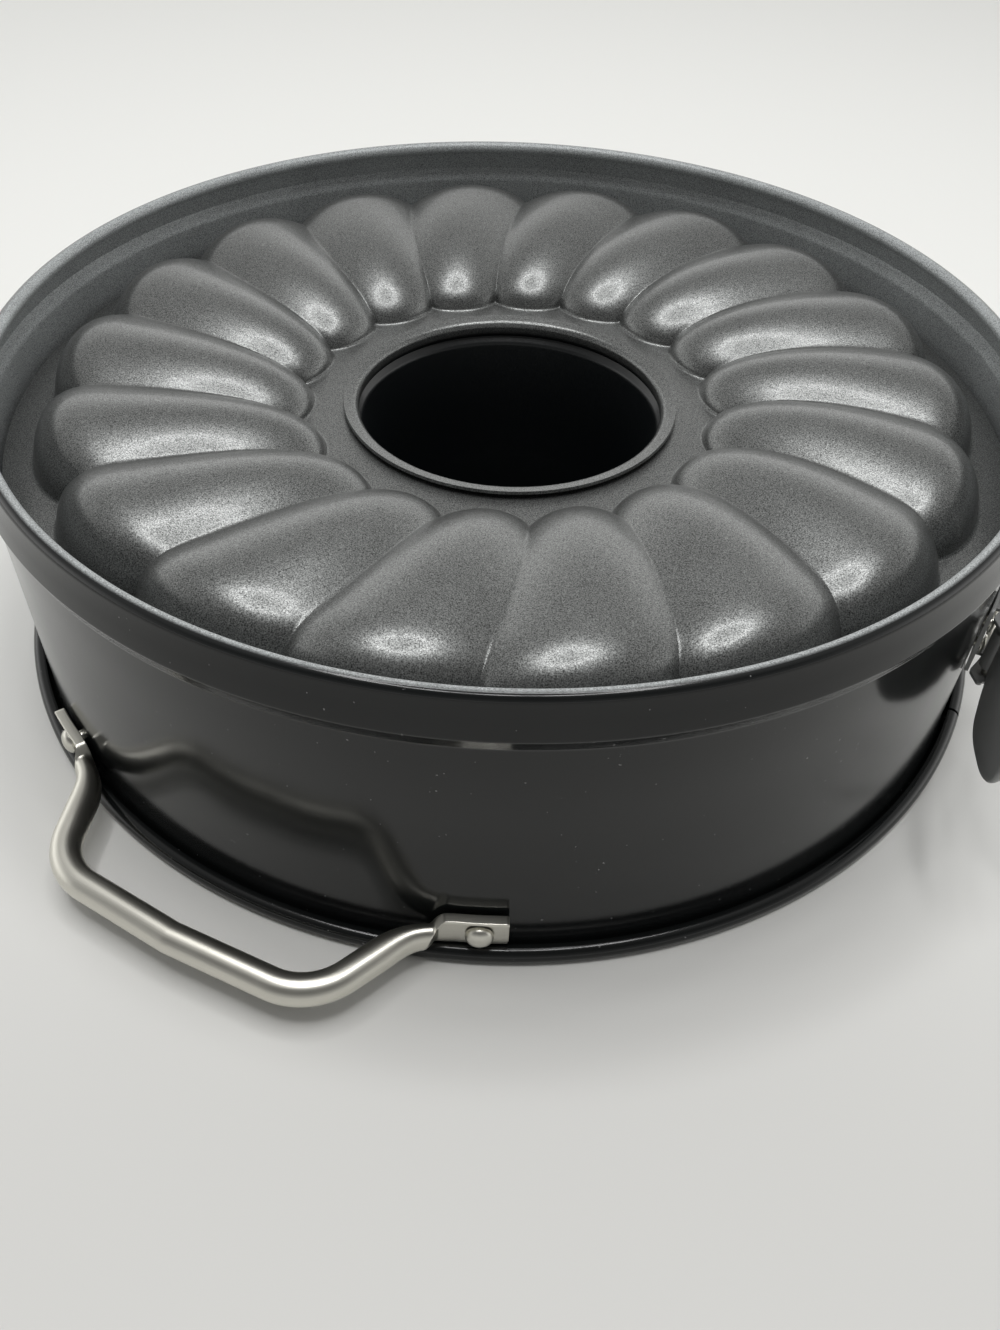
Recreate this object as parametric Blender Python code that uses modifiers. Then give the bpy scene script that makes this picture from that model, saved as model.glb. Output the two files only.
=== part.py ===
"""A springform bundt pan, standing upside down on its rolled rim.

Two sheet-steel pieces stand on the table, one inside the other. The outer one is the band: a wall with a
rolled rim below and a groove and bead above, closed by a lever latch, with two riveted handles. The inner one
is the fluted insert with its centre tube, which stands on the tube's closed foot. Lengths are in metres and
directions in degrees, measured round the pan's axis, counter-clockwise from +X.
"""
import math

import bmesh
import bpy
import numpy as np
from mathutils import Matrix, Vector

# Driving dimensions of the band
SHEET = 0.0008
WALL_RADIUS = 0.1304            # middle of the sheet, which leaves 260 mm inside
RIM_ROLL_RADIUS = 0.00185
RIM_ROLL_CENTRE = 0.1332
RIM_ROLL_START = 112.5          # directions in the profile's plane
RIM_ROLL_END = -157.5
RIM_FLARE = ((0.13112, 0.0031), (0.13072, 0.0050))
RIM_FLARE_TOP = 0.0080
GROOVE_FOOT_Z = 0.0624
GROOVE_RIDGE = ((0.13165, 0.0692), (0.13185, 0.0701), (0.13170, 0.0710))
BEAD_RADIUS = 0.0014
BEAD_CENTRE = (0.1288, 0.0776)
BEAD_TURN = 235.0               # how far the bead curls over, from its outer side
BAND_STEPS = 28                 # facets in half a turn

# Driving dimensions of the insert
FLUTE_COUNT = 18
FLUTE_FACETS = 6
VALLEY_DIRECTION = -92.2        # outer end of one valley
FLUTE_SWIRL = 8.0               # how far a valley turns on its way in
INSERT_TOP_Z = 0.0580
INSERT_EDGE_RADIUS = 0.1285
INSERT_HOLE_RADIUS = 0.0415
CREST_HEIGHT = 0.0146
VALLEY_HEIGHT = 0.0104
OUTER_VALLEY_RADIUS = 0.1155
OUTER_LOBE_REACH = 0.0055
INNER_VALLEY_RADIUS = 0.0565
INNER_LOBE_REACH = 0.0045
CREST_PEAK = 0.74               # share of the flute's length, from its inner end

# Driving dimensions of the centre tube
TUBE_FOOT_RADIUS = 0.0305
TUBE_FOOT_ROUNDING = 0.0030
TUBE_FLAT_RADIUS = 0.0140
TUBE_TAPER = (0.0352, 0.0270)   # radius and height, as the next ones are
TUBE_NECK = (0.0400, 0.0532)
CRIMP_BULGE = ((0.0417, 0.0555), (0.0417, 0.0547))
TUBE_THROAT = ((0.0407, 0.0584), (0.0407, 0.0565))
COLLAR_ROOT = (0.0416, 0.0592)
COLLAR_EDGE = (0.0442, 0.05975)
TUBE_STEPS = 36

# Where things stand round the pan
FRONT_HANDLE_DIRECTION = -116.0
BACK_HANDLE_DIRECTION = FRONT_HANDLE_DIRECTION + 180.0
SEAM_DIRECTION = -25.0
SEAM_HALF_GAP = 0.18

# Handles
HANDLE_TUBE_RADIUS = 0.0035
HANDLE_Z = 0.0090
HANDLE_GRIP_REACH = 0.1505
HANDLE_GRIP_HALF = 0.0338
HANDLE_GRIP_BOW = 0.0018
HANDLE_JOINT = (0.1354, 21.4)   # radius and angle of the tube's end on the ear
HANDLE_KNEE = (0.1372, 18.0)    # radius and angle where it turns away from the wall
HANDLE_BEND_RADIUS = 0.0150
EAR_INNER_RADIUS = 0.1316
EAR_THICKNESS = 0.0014
EAR_ANGLES = (19.4, 27.9)
EAR_Z = (0.0050, 0.0145)
EAR_LIP_DEPTH = 0.0032
EAR_LIP_THICKNESS = 0.0012
EAR_LIP_INSET = 0.0003          # how far the lip starts into the ear's sheet
EAR_LIP_DROP = 0.0007           # from the ear's top to the lip's middle
EAR_RIVET_ANGLE = 25.2

# Rivets: radius of the shank, outer head and inner head
HANDLE_RIVET = (0.0015, 0.0031, 0.0030)
LATCH_RIVET = (0.0013, 0.0024, 0.0026)
RIVET_HOLE_GAP = 0.00025
RIVET_INNER_HEAD = (0.1289, 0.1297)
RIVET_CUT = (0.1270, 0.1350)    # from which radius to which a hole is cut
HANDLE_RIVET_HEAD = (0.0023, 0.0016)    # height of the outer head, and how much of it is dome
LATCH_RIVET_HEAD = (0.0010, 0.0006)
SMALL_GAP = 0.0003

# Latch, in its own frame: u points outward at the seam, v runs round the pan, away from the lever
LATCH_Z = 0.0390
PLATE_INNER_RADIUS = 0.13115
PLATE_THICKNESS = 0.0010
PLATE_HALF_HEIGHT = 0.0100
BASE_PLATE_ANGLES = (-6.1, -0.5)
CATCH_PLATE_ANGLES = (1.8, 13.0)
BASE_RIVET_ANGLE = -3.93
CATCH_RIVET_ANGLE = 10.4
BASE_RIVET_OFFSET = 0.0033
CATCH_RIVET_OFFSET = 0.0060
PIVOT = (0.1362, -0.0056)
PIVOT_PIN_RADIUS = 0.0010
PIVOT_GAP = 0.00012
PIN_HEAD = (0.0019, 0.0007)     # radius and height
PIN_HEAD_CHAMFER = (0.0003, 0.0002)
PIN_CUT_HALF = 0.0120
FLANGE_Z = (0.0066, 0.0076)
FLANGE_RADIUS = 0.0030
FLANGE_ROOT = ((-0.0048, -0.0030), (-0.0046, 0.0030))
EAR_PLATE_Z = (0.0079, 0.0089)  # the lever's two ears, outside the flanges
EAR_PLATE_RADIUS = 0.0026
EAR_PLATE_TIP = (-0.0019, -0.0114)
EAR_PLATE_TIP_RADIUS = 0.0008
EAR_PLATE_OUTER = ((0.0010, -0.0050), (0.0008, -0.0096))
EAR_PLATE_INNER = ((-0.0044, -0.0090), (-0.0044, -0.0078), (-0.0030, -0.0030))
LEVER_ANGLE = -90.0
LEVER_LENGTH = 0.0465
LEVER_HALF_THICKNESS = 0.0010
LEVER_START = 0.0034            # from the pivot, clear of the flanges' noses
LEVER_NECK_HALF = 0.0089
LEVER_PADDLE_HALF = 0.0110
LEVER_WIDENS = (0.0110, 0.0180)
LEVER_FLARE = (0.0225, 0.0325)  # where the lever starts and ends to curve outward
LEVER_FLARE_RADIUS = 0.0300
LEVER_FLARE_STEP = 0.0025
LEVER_EYE_RADIUS = 0.0024
LEVER_EYE_HALF = 0.0055
BAIL_ARM = 0.0080
BAIL_ARM_ANGLE = -97.0
BAIL_WIRE_RADIUS = 0.0011
BAIL_HALF_WIDTH = 0.0113
BAIL_CORNER_RADIUS = 0.0024
BAIL_SEAT = (0.1342, 0.0160)
HOOK_GAP = 0.0016
HOOK_THICKNESS = 0.0010
HOOK_TOP = 0.1350
HOOK_HALF_WIDTH = 0.0055
TONGUE_ANGLES = (-2.4, 4.0)
TONGUE_RADIUS = 0.12940
TONGUE_THICKNESS = 0.0007
TONGUE_Z = (0.0090, 0.0565)


def polar(radius, direction, z=0.0):
    """A point at a radius and direction round the pan's axis."""
    angle = math.radians(direction)
    return Vector((radius * math.cos(angle), radius * math.sin(angle), z))


def latch_point(u, v, z=0.0):
    """A point of the latch's own frame, in world coordinates."""
    return Matrix.Rotation(math.radians(SEAM_DIRECTION), 3, "Z") @ Vector((u, v, z))


def offset_in_latch(start, distance, direction, z=0.0):
    """A point at a distance and direction from a point of the latch's frame."""
    angle = math.radians(direction)
    return latch_point(start[0] + distance * math.cos(angle), start[1] + distance * math.sin(angle), z)


def arc(centre, radius, start, end, steps):
    """Points along an arc in a profile's plane, start and end included."""
    angles = np.radians(np.linspace(start, end, steps + 1))
    return [(centre[0] + radius * math.cos(a), centre[1] + radius * math.sin(a)) for a in angles]


def make_material(name, colour, roughness, metallic):
    """A plain Principled material."""
    material = bpy.data.materials.new(name)
    material.use_nodes = True
    shader = material.node_tree.nodes["Principled BSDF"]
    shader.inputs["Base Color"].default_value = (*colour, 1.0)
    shader.inputs["Roughness"].default_value = roughness
    shader.inputs["Metallic"].default_value = metallic
    material.diffuse_color = (*colour, 1.0)
    return material


def make_object(name, mesh, material, collection, smooth=True):
    """A named object in its collection, with one material."""
    thing = bpy.data.objects.new(name, mesh)
    collection.objects.link(thing)
    if material is not None:
        mesh.materials.append(material)
    if smooth:
        mesh.shade_smooth()
        mesh.set_sharp_from_angle(angle=math.radians(35.0))
    return thing


def profile_mesh(name, points):
    """A chain of edges in the XZ plane, from (radius, z) pairs."""
    mesh = bpy.data.meshes.new(name)
    vertices = [(radius, 0.0, z) for radius, z in points]
    edges = [(i, i + 1) for i in range(len(points) - 1)]
    mesh.from_pydata(vertices, edges, [])
    return mesh


def add_screw(thing, angle, steps):
    """Turns a profile round its object's Z axis."""
    screw = thing.modifiers.new("turn", "SCREW")
    screw.angle = math.radians(angle)
    screw.steps = steps
    screw.render_steps = steps
    screw.use_merge_vertices = angle == 360.0
    screw.merge_threshold = 0.00001
    screw.use_smooth_shade = True


def add_solidify(thing, thickness):
    """Gives an open surface its sheet thickness, half to each side."""
    solidify = thing.modifiers.new("sheet", "SOLIDIFY")
    solidify.thickness = thickness
    solidify.offset = 0.0
    solidify.use_even_offset = True


def turned_sheet(name, points, span, steps, thickness, material, collection):
    """A sheet profile turned from one direction to another, with its thickness."""
    thing = make_object(name, profile_mesh(name, points), material, collection, smooth=False)
    thing.rotation_euler.z = math.radians(span[0])
    add_screw(thing, span[1] - span[0], steps)
    add_solidify(thing, thickness)
    return thing


def along_radius(direction, z):
    """Turns an object's Z axis to point outward from the pan's axis."""
    turn = Matrix.Rotation(math.radians(direction), 4, "Z") @ Matrix.Rotation(math.pi / 2.0, 4, "Y")
    return Matrix.Translation((0.0, 0.0, z)) @ turn


def make_cutter(name, mesh, matrix, cutters):
    """A hidden solid for a Boolean."""
    cutter = bpy.data.objects.new(name, mesh)
    cutters.objects.link(cutter)
    cutter.matrix_world = matrix
    cutter.hide_render = True
    cutter.display_type = "WIRE"
    return cutter


def cylinder_mesh(name, radius, low, high, sides=16):
    """A capped cylinder along Z between two heights."""
    mesh = bpy.data.meshes.new(name)
    shape = bmesh.new()
    middle = Matrix.Translation((0.0, 0.0, (low + high) / 2.0))
    bmesh.ops.create_cone(shape, cap_ends=True, segments=sides, radius1=radius, radius2=radius,
                          depth=high - low, matrix=middle)
    shape.to_mesh(mesh)
    shape.free()
    return mesh


def outline_mesh(name, outline, half_thickness):
    """A flat outline of (x, y) points as a closed plate of even thickness, its middle on z = 0."""
    curve = bpy.data.curves.new(name, "CURVE")
    curve.dimensions = "2D"
    curve.fill_mode = "BOTH"
    curve.extrude = half_thickness
    spline = curve.splines.new("POLY")
    spline.points.add(len(outline) - 1)
    for (x, y), point in zip(outline, spline.points):
        point.co = (x, y, 0.0, 1.0)
    spline.use_cyclic_u = True
    guide = bpy.data.objects.new(name, curve)
    bpy.context.scene.collection.objects.link(guide)
    graph = bpy.context.evaluated_depsgraph_get()
    mesh = bpy.data.meshes.new_from_object(guide.evaluated_get(graph))
    bpy.data.objects.remove(guide)
    shape = bmesh.new()
    shape.from_mesh(mesh)
    bmesh.ops.remove_doubles(shape, verts=shape.verts, dist=0.000005)
    bmesh.ops.recalc_face_normals(shape, faces=shape.faces)
    shape.to_mesh(mesh)
    shape.free()
    return mesh


def box_mesh(name, low, high):
    """A box between two corners."""
    mesh = bpy.data.meshes.new(name)
    shape = bmesh.new()
    low, high = Vector(low), Vector(high)
    size = Matrix.Diagonal((*(high - low), 1.0))
    bmesh.ops.create_cube(shape, size=1.0, matrix=Matrix.Translation((low + high) / 2.0) @ size)
    shape.to_mesh(mesh)
    shape.free()
    return mesh


def add_boolean(thing, cutter, operation):
    """Cuts or joins one solid with another."""
    boolean = thing.modifiers.new(cutter.name, "BOOLEAN")
    boolean.operation = operation
    boolean.object = cutter
    boolean.solver = "EXACT"


def cut_rivet_holes(thing, places, shank_radius, cutters):
    """Holes through a wall, a plate or an ear, one at each (direction, z)."""
    for number, (direction, z) in enumerate(places):
        name = f"{thing.name}_hole_{number}_{round(direction)}"
        mesh = cylinder_mesh(name, shank_radius + RIVET_HOLE_GAP, *RIVET_CUT)
        add_boolean(thing, make_cutter(name, mesh, along_radius(direction, z), cutters), "DIFFERENCE")


def hang_on_axis(thing, axis_empty):
    """Parents a finished object to the empty on its joint's axis, without moving it."""
    thing.parent = axis_empty
    thing.matrix_parent_inverse = Matrix.Translation(axis_empty.location).inverted()


def band_profile():
    """The band's section from the rolled rim, up the wall and round the groove, to the bead."""
    roll_flat = RIM_ROLL_RADIUS * math.cos(math.radians(22.5)) + SHEET / 2.0
    points = arc((RIM_ROLL_CENTRE, roll_flat), RIM_ROLL_RADIUS, RIM_ROLL_START, RIM_ROLL_END, 6)
    points += [*RIM_FLARE, (WALL_RADIUS, RIM_FLARE_TOP), (WALL_RADIUS, GROOVE_FOOT_Z), *GROOVE_RIDGE]
    points += arc(BEAD_CENTRE, BEAD_RADIUS, 0.0, BEAD_TURN, 5)
    return points


def make_band(name, start, rivets, steel, parts, cutters):
    """One half of the band, from one direction over half a turn, with its rivet holes."""
    span = (start + SEAM_HALF_GAP, start + 180.0 - SEAM_HALF_GAP)
    band = turned_sheet(name, band_profile(), span, BAND_STEPS, SHEET, steel, parts)
    for places, shank_radius in rivets:
        cut_rivet_holes(band, places, shank_radius, cutters)
    return band


def flute_rise(share):
    """Height along a flute from its inner end (0) to its outer end (1), as a share of its crest."""
    inward = np.clip((CREST_PEAK - share) / CREST_PEAK, 0.0, 1.0)
    outward = np.clip((share - CREST_PEAK) / (1.0 - CREST_PEAK), 0.0, 1.0)
    return (1.0 - inward ** 2.4) ** 0.55 * (1.0 - outward ** 3.2) ** 0.588


def insert_rows(across):
    """Radius and height of each row of the insert, for places across a flute (valleys at -1 and 1)."""
    bulge = 1.0 - across ** 2
    lobe = bulge ** 0.7
    inner = INNER_VALLEY_RADIUS - INNER_LOBE_REACH * lobe
    outer = OUTER_VALLEY_RADIUS + OUTER_LOBE_REACH * lobe
    height = VALLEY_HEIGHT + (CREST_HEIGHT - VALLEY_HEIGHT) * bulge
    rows = [(np.full_like(across, INSERT_HOLE_RADIUS), np.full_like(across, INSERT_TOP_Z))]
    for share in (0.0, 0.02, 0.07, 0.16, 0.32, 0.53, 0.74, 0.86, 0.93, 0.975, 1.0):
        rows.append((inner + (outer - inner) * share, INSERT_TOP_Z + height * flute_rise(share)))
    rows.append((np.full_like(across, INSERT_EDGE_RADIUS), np.full_like(across, INSERT_TOP_Z)))
    return rows


def make_insert(steel, parts):
    """The stamped base: a flat flange, a ring of flutes and a flat collar seat, as one sheet."""
    columns = FLUTE_COUNT * FLUTE_FACETS
    column = np.arange(columns)
    across = 2.0 * (column % FLUTE_FACETS) / FLUTE_FACETS - 1.0
    direction = VALLEY_DIRECTION + 360.0 * column / columns
    rows = insert_rows(across)

    shape = bmesh.new()
    grid = []
    for radius, height in rows:
        inward = (OUTER_VALLEY_RADIUS - radius) / (OUTER_VALLEY_RADIUS - INNER_VALLEY_RADIUS)
        angle = np.radians(direction + FLUTE_SWIRL * np.clip(inward, 0.0, 1.0))
        places = zip(radius * np.cos(angle), radius * np.sin(angle), height)
        grid.append([shape.verts.new(place) for place in places])
    for low, high in zip(grid, grid[1:]):
        for i in range(columns):
            j = (i + 1) % columns
            shape.faces.new((low[i], high[i], high[j], low[j]))
    mesh = bpy.data.meshes.new("insert")
    shape.to_mesh(mesh)
    shape.free()

    insert = make_object("insert", mesh, steel, parts)
    add_solidify(insert, SHEET)
    insert.modifiers["sheet"].offset = -1.0
    return insert


def make_centre_tube(steel, parts):
    """The tapered tube: a collar over the insert, a crimped bulge under it and a closed foot."""
    rounding = (TUBE_FOOT_RADIUS - TUBE_FOOT_ROUNDING, TUBE_FOOT_ROUNDING + SHEET / 2.0)
    points = [COLLAR_EDGE, COLLAR_ROOT, *TUBE_THROAT, *CRIMP_BULGE, TUBE_NECK, TUBE_TAPER]
    points += arc(rounding, TUBE_FOOT_ROUNDING, 10.0, -90.0, 3)
    points += [(TUBE_FLAT_RADIUS, SHEET / 2.0), (0.0, SHEET / 2.0)]
    return turned_sheet("centre_tube", points, (0.0, 360.0), TUBE_STEPS, SHEET, steel, parts)


def fillet_path(corners, radius, steps):
    """A path through corners, each one rounded to a radius."""
    path = [corners[0]]
    for before, corner, after in zip(corners, corners[1:], corners[2:]):
        back = (before - corner).normalized()
        ahead = (after - corner).normalized()
        half = back.angle(ahead) / 2.0
        centre = corner + (back + ahead).normalized() * radius / math.sin(half)
        start = corner + back * radius / math.tan(half)
        end = corner + ahead * radius / math.tan(half)
        for step in range(steps + 1):
            blend = step / steps
            spoke = (start - centre).normalized().slerp((end - centre).normalized(), blend)
            path.append(centre + spoke * radius)
    path.append(corners[-1])
    return path


def tube_mesh(name, points, radius, cyclic=False, resolution=2):
    """A round tube along points, as a closed mesh."""
    curve = bpy.data.curves.new(name, "CURVE")
    curve.dimensions = "3D"
    curve.bevel_depth = radius
    curve.bevel_resolution = resolution
    curve.use_fill_caps = not cyclic
    spline = curve.splines.new("POLY")
    spline.points.add(len(points) - 1)
    for place, point in zip(points, spline.points):
        point.co = (*place, 1.0)
    spline.use_cyclic_u = cyclic
    guide = bpy.data.objects.new(name, curve)
    bpy.context.scene.collection.objects.link(guide)
    graph = bpy.context.evaluated_depsgraph_get()
    mesh = bpy.data.meshes.new_from_object(guide.evaluated_get(graph))
    bpy.data.objects.remove(guide)
    shape = bmesh.new()
    shape.from_mesh(mesh)
    bmesh.ops.remove_doubles(shape, verts=shape.verts, dist=0.000005)
    bmesh.ops.recalc_face_normals(shape, faces=shape.faces)
    shape.to_mesh(mesh)
    shape.free()
    return mesh


def handle_path(direction):
    """The tube's middle line: out from one ear, along the bowed grip and back to the other ear."""
    frame = Matrix.Rotation(math.radians(direction), 3, "Z")
    mirror = Matrix.Diagonal((1.0, -1.0, 1.0))
    middle = Vector((HANDLE_GRIP_REACH + HANDLE_GRIP_BOW, 0.0, HANDLE_Z))
    corner = Vector((HANDLE_GRIP_REACH, HANDLE_GRIP_HALF, HANDLE_Z))
    side = [middle, corner, polar(*HANDLE_KNEE, HANDLE_Z), polar(*HANDLE_JOINT, HANDLE_Z)]
    half = fillet_path(side, HANDLE_BEND_RADIUS, 4)
    path = [mirror @ place for place in reversed(half)] + half[1:]
    return [frame @ place for place in path]


def make_handle(name, direction, steel, parts, cutters):
    """A bent tube with two flattened ears, as one solid."""
    handle = make_object(name, tube_mesh(name, handle_path(direction), HANDLE_TUBE_RADIUS), steel, parts)
    for side in (-1.0, 1.0):
        near, far = sorted(side * angle for angle in EAR_ANGLES)
        span = (direction + near, direction + far)
        ear_name = f"{name}_ear_{'right' if side > 0 else 'left'}"
        middle = EAR_INNER_RADIUS + EAR_THICKNESS / 2.0
        points = [(middle, EAR_Z[1]), (middle, EAR_Z[0])]
        ear = turned_sheet(ear_name, points, span, 3, EAR_THICKNESS, None, cutters)
        lip_low = EAR_INNER_RADIUS + EAR_LIP_INSET
        lip_z = EAR_Z[1] - EAR_LIP_DROP
        lip_points = [(lip_low, lip_z), (lip_low + EAR_LIP_DEPTH, lip_z)]
        lip = turned_sheet(f"{ear_name}_lip", lip_points, span, 3, EAR_LIP_THICKNESS, None, cutters)
        for piece in (ear, lip):
            piece.hide_render = True
            piece.display_type = "WIRE"
            add_boolean(handle, piece, "UNION")
        cut_rivet_holes(handle, [(direction + side * EAR_RIVET_ANGLE, HANDLE_Z)], HANDLE_RIVET[0], cutters)
    return handle


def make_rivet(name, direction, z, sizes, face, head, steel, parts):
    """A rivet through the wall: a flat head inside, a shank and a domed head on a face outside."""
    shank, outer, inner = sizes
    inner_low, inner_high = RIVET_INNER_HEAD
    rise, dome = head
    low, high = face, face + rise
    points = [(0.0, high)]
    for share in (0.55, 1.0):
        points.append((outer * share, high - dome * share ** 2.5))
    points += [(outer, low), (shank, low), (shank, inner_high), (inner, inner_high)]
    points += [(inner, inner_low), (0.0, inner_low)]
    rivet = make_object(name, profile_mesh(name, points), steel, parts, smooth=False)
    add_screw(rivet, 360.0, 12)
    rivet.matrix_world = along_radius(direction, z)
    return rivet


def handle_rivets(side_name, direction, steel, parts):
    """The two rivets that hold one handle."""
    face = EAR_INNER_RADIUS + EAR_THICKNESS + SMALL_GAP
    made = []
    for side, word in ((-1.0, "left"), (1.0, "right")):
        name = f"{side_name}_handle_{word}_rivet"
        place = direction + side * EAR_RIVET_ANGLE
        made.append(make_rivet(name, place, HANDLE_Z, HANDLE_RIVET, face, HANDLE_RIVET_HEAD, steel, parts))
    return made


def plate_rivet_places(angle, offset):
    """Direction and height of the lower and the upper rivet of a latch plate."""
    return [(SEAM_DIRECTION + angle, LATCH_Z + side * offset) for side in (-1.0, 1.0)]


def latch_rivets(plate_name, places, steel, parts):
    """The two rivets that hold one latch plate."""
    face = PLATE_INNER_RADIUS + PLATE_THICKNESS + SMALL_GAP
    made = []
    for (direction, z), word in zip(places, ("lower", "upper")):
        name = f"{plate_name}_{word}_rivet"
        made.append(make_rivet(name, direction, z, LATCH_RIVET, face, LATCH_RIVET_HEAD, steel, parts))
    return made


def latch_plate(name, angles, steel, parts):
    """A curved plate that lies on the band's wall."""
    middle = PLATE_INNER_RADIUS + PLATE_THICKNESS / 2.0
    points = [(middle, LATCH_Z + PLATE_HALF_HEIGHT), (middle, LATCH_Z - PLATE_HALF_HEIGHT)]
    span = (SEAM_DIRECTION + angles[0], SEAM_DIRECTION + angles[1])
    return turned_sheet(name, points, span, 4, PLATE_THICKNESS, steel, parts)


def latch_matrix():
    """The latch's own frame in the world."""
    return Matrix.Rotation(math.radians(SEAM_DIRECTION), 4, "Z")


def pivot_matrix():
    """The latch's frame, moved to the lever's pivot."""
    return latch_matrix() @ Matrix.Translation((*PIVOT, LATCH_Z))


def make_latch_base(steel, parts, cutters):
    """The plate that carries the lever, with two flanges round its pin."""
    base = latch_plate("latch_base", BASE_PLATE_ANGLES, steel, parts)
    outline = arc((0.0, 0.0), FLANGE_RADIUS, 90.0, -90.0, 10)
    outline += FLANGE_ROOT
    half = (FLANGE_Z[1] - FLANGE_Z[0]) / 2.0
    for side, word in ((-1.0, "lower"), (1.0, "upper")):
        flange = outline_mesh(f"flange_{word}", outline, half)
        place = pivot_matrix() @ Matrix.Translation((0.0, 0.0, side * (FLANGE_Z[0] + half)))
        add_boolean(base, make_cutter(flange.name, flange, place, cutters), "UNION")
    hole = cylinder_mesh("flange_hole", PIVOT_PIN_RADIUS + PIVOT_GAP, -PIN_CUT_HALF, PIN_CUT_HALF)
    add_boolean(base, make_cutter("flange_hole", hole, pivot_matrix(), cutters), "DIFFERENCE")
    cut_rivet_holes(base, plate_rivet_places(BASE_RIVET_ANGLE, BASE_RIVET_OFFSET), LATCH_RIVET[0], cutters)
    return base


def make_lever_pin(steel, parts):
    """The headed pin through the flanges and the lever."""
    inner = EAR_PLATE_Z[1] + SMALL_GAP
    head, rise = PIN_HEAD
    outer = inner + rise
    across, down = PIN_HEAD_CHAMFER
    points = [(0.0, outer), (head - across, outer), (head, outer - down), (head, inner)]
    points.append((PIVOT_PIN_RADIUS, inner))
    points += [(x, -z) for x, z in reversed(points)]
    pin = make_object("lever_pin", profile_mesh("lever_pin", points), steel, parts, smooth=False)
    add_screw(pin, 360.0, 16)
    pin.matrix_world = pivot_matrix()
    return pin


def lever_outline():
    """Half-heights along the lever: a narrow neck that widens into a round-ended paddle."""
    neck_end, paddle_start = LEVER_WIDENS
    top = [(LEVER_START, LEVER_NECK_HALF)]
    for share in np.linspace(0.0, 1.0, 5):
        ease = share * share * (3.0 - 2.0 * share)
        x = neck_end + (paddle_start - neck_end) * share
        top.append((x, LEVER_NECK_HALF + (LEVER_PADDLE_HALF - LEVER_NECK_HALF) * ease))
    centre = LEVER_LENGTH - LEVER_PADDLE_HALF
    top += arc((centre, 0.0), LEVER_PADDLE_HALF, 90.0, 0.0, 6)
    return top + [(x, -z) for x, z in reversed(top[:-1])]


def lever_ear_outline():
    """An ear in the closed position: round at the pin, then a slanted nose beyond the bail's hole."""
    outline = arc((0.0, 0.0), EAR_PLATE_RADIUS, 180.0, 0.0, 10)
    outline += EAR_PLATE_OUTER
    outline += arc(EAR_PLATE_TIP, EAR_PLATE_TIP_RADIUS, -5.0, -130.0, 4)
    return outline + list(EAR_PLATE_INNER)


def lever_flare(x):
    """How far the lever stands outward at a distance from its pivot: an arc, then a straight run."""
    start, end = LEVER_FLARE
    curved = min(max(x - start, 0.0), end - start)
    straight = max(x - end, 0.0)
    return curved ** 2 / (2.0 * LEVER_FLARE_RADIUS) + straight * (end - start) / LEVER_FLARE_RADIUS


def make_lever(steel, parts, cutters):
    """The latch's lever: a paddle that curves outward, with two ears on the pin and a barrel for the bail."""
    mesh = outline_mesh("latch_lever", lever_outline(), LEVER_HALF_THICKNESS)
    stand_up = Matrix.Rotation(math.radians(LEVER_ANGLE), 4, "Z") @ Matrix.Rotation(math.pi / 2.0, 4, "X")
    shape = bmesh.new()
    shape.from_mesh(mesh)
    for x in np.arange(LEVER_FLARE[0], LEVER_LENGTH - LEVER_FLARE_STEP, LEVER_FLARE_STEP):
        whole = shape.verts[:] + shape.edges[:] + shape.faces[:]
        bmesh.ops.bisect_plane(shape, geom=whole, plane_co=(x, 0.0, 0.0), plane_no=(1.0, 0.0, 0.0))
    for corner in shape.verts:
        corner.co.z -= lever_flare(corner.co.x)
    shape.transform(pivot_matrix() @ stand_up)
    shape.to_mesh(mesh)
    shape.free()
    lever = make_object("latch_lever", mesh, steel, parts)

    half = (EAR_PLATE_Z[1] - EAR_PLATE_Z[0]) / 2.0
    for side, word in ((-1.0, "lower"), (1.0, "upper")):
        ear = outline_mesh(f"lever_ear_{word}", lever_ear_outline(), half)
        place = pivot_matrix() @ Matrix.Translation((0.0, 0.0, side * (EAR_PLATE_Z[0] + half)))
        add_boolean(lever, make_cutter(ear.name, ear, place, cutters), "UNION")
    eye_place = offset_in_latch(PIVOT, BAIL_ARM, BAIL_ARM_ANGLE, LATCH_Z)
    eye_matrix = Matrix.Translation(eye_place)
    eye = cylinder_mesh("lever_eye", LEVER_EYE_RADIUS, -LEVER_EYE_HALF, LEVER_EYE_HALF)
    add_boolean(lever, make_cutter("lever_eye", eye, eye_matrix, cutters), "UNION")
    pin_hole = cylinder_mesh("lever_pin_hole", PIVOT_PIN_RADIUS + PIVOT_GAP, -PIN_CUT_HALF, PIN_CUT_HALF)
    add_boolean(lever, make_cutter("lever_pin_hole", pin_hole, pivot_matrix(), cutters), "DIFFERENCE")
    eye_hole = cylinder_mesh("lever_eye_hole", BAIL_WIRE_RADIUS + PIVOT_GAP, -PIN_CUT_HALF, PIN_CUT_HALF)
    add_boolean(lever, make_cutter("lever_eye_hole", eye_hole, eye_matrix, cutters), "DIFFERENCE")
    return lever


def make_bail(steel, parts):
    """The wire loop that runs through the lever's eye and hooks onto the catch."""
    near = offset_in_latch(PIVOT, BAIL_ARM, BAIL_ARM_ANGLE, LATCH_Z)
    far = latch_point(*BAIL_SEAT, LATCH_Z)
    up = Vector((0.0, 0.0, BAIL_HALF_WIDTH))
    loop = [(near + far) / 2.0 + up, far + up, far - up, near - up, near + up, (near + far) / 2.0 + up]
    path = fillet_path(loop, BAIL_CORNER_RADIUS, 3)[:-1]
    wire = tube_mesh("bail", path, BAIL_WIRE_RADIUS, cyclic=True, resolution=1)
    return make_object("bail", wire, steel, parts)


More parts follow.
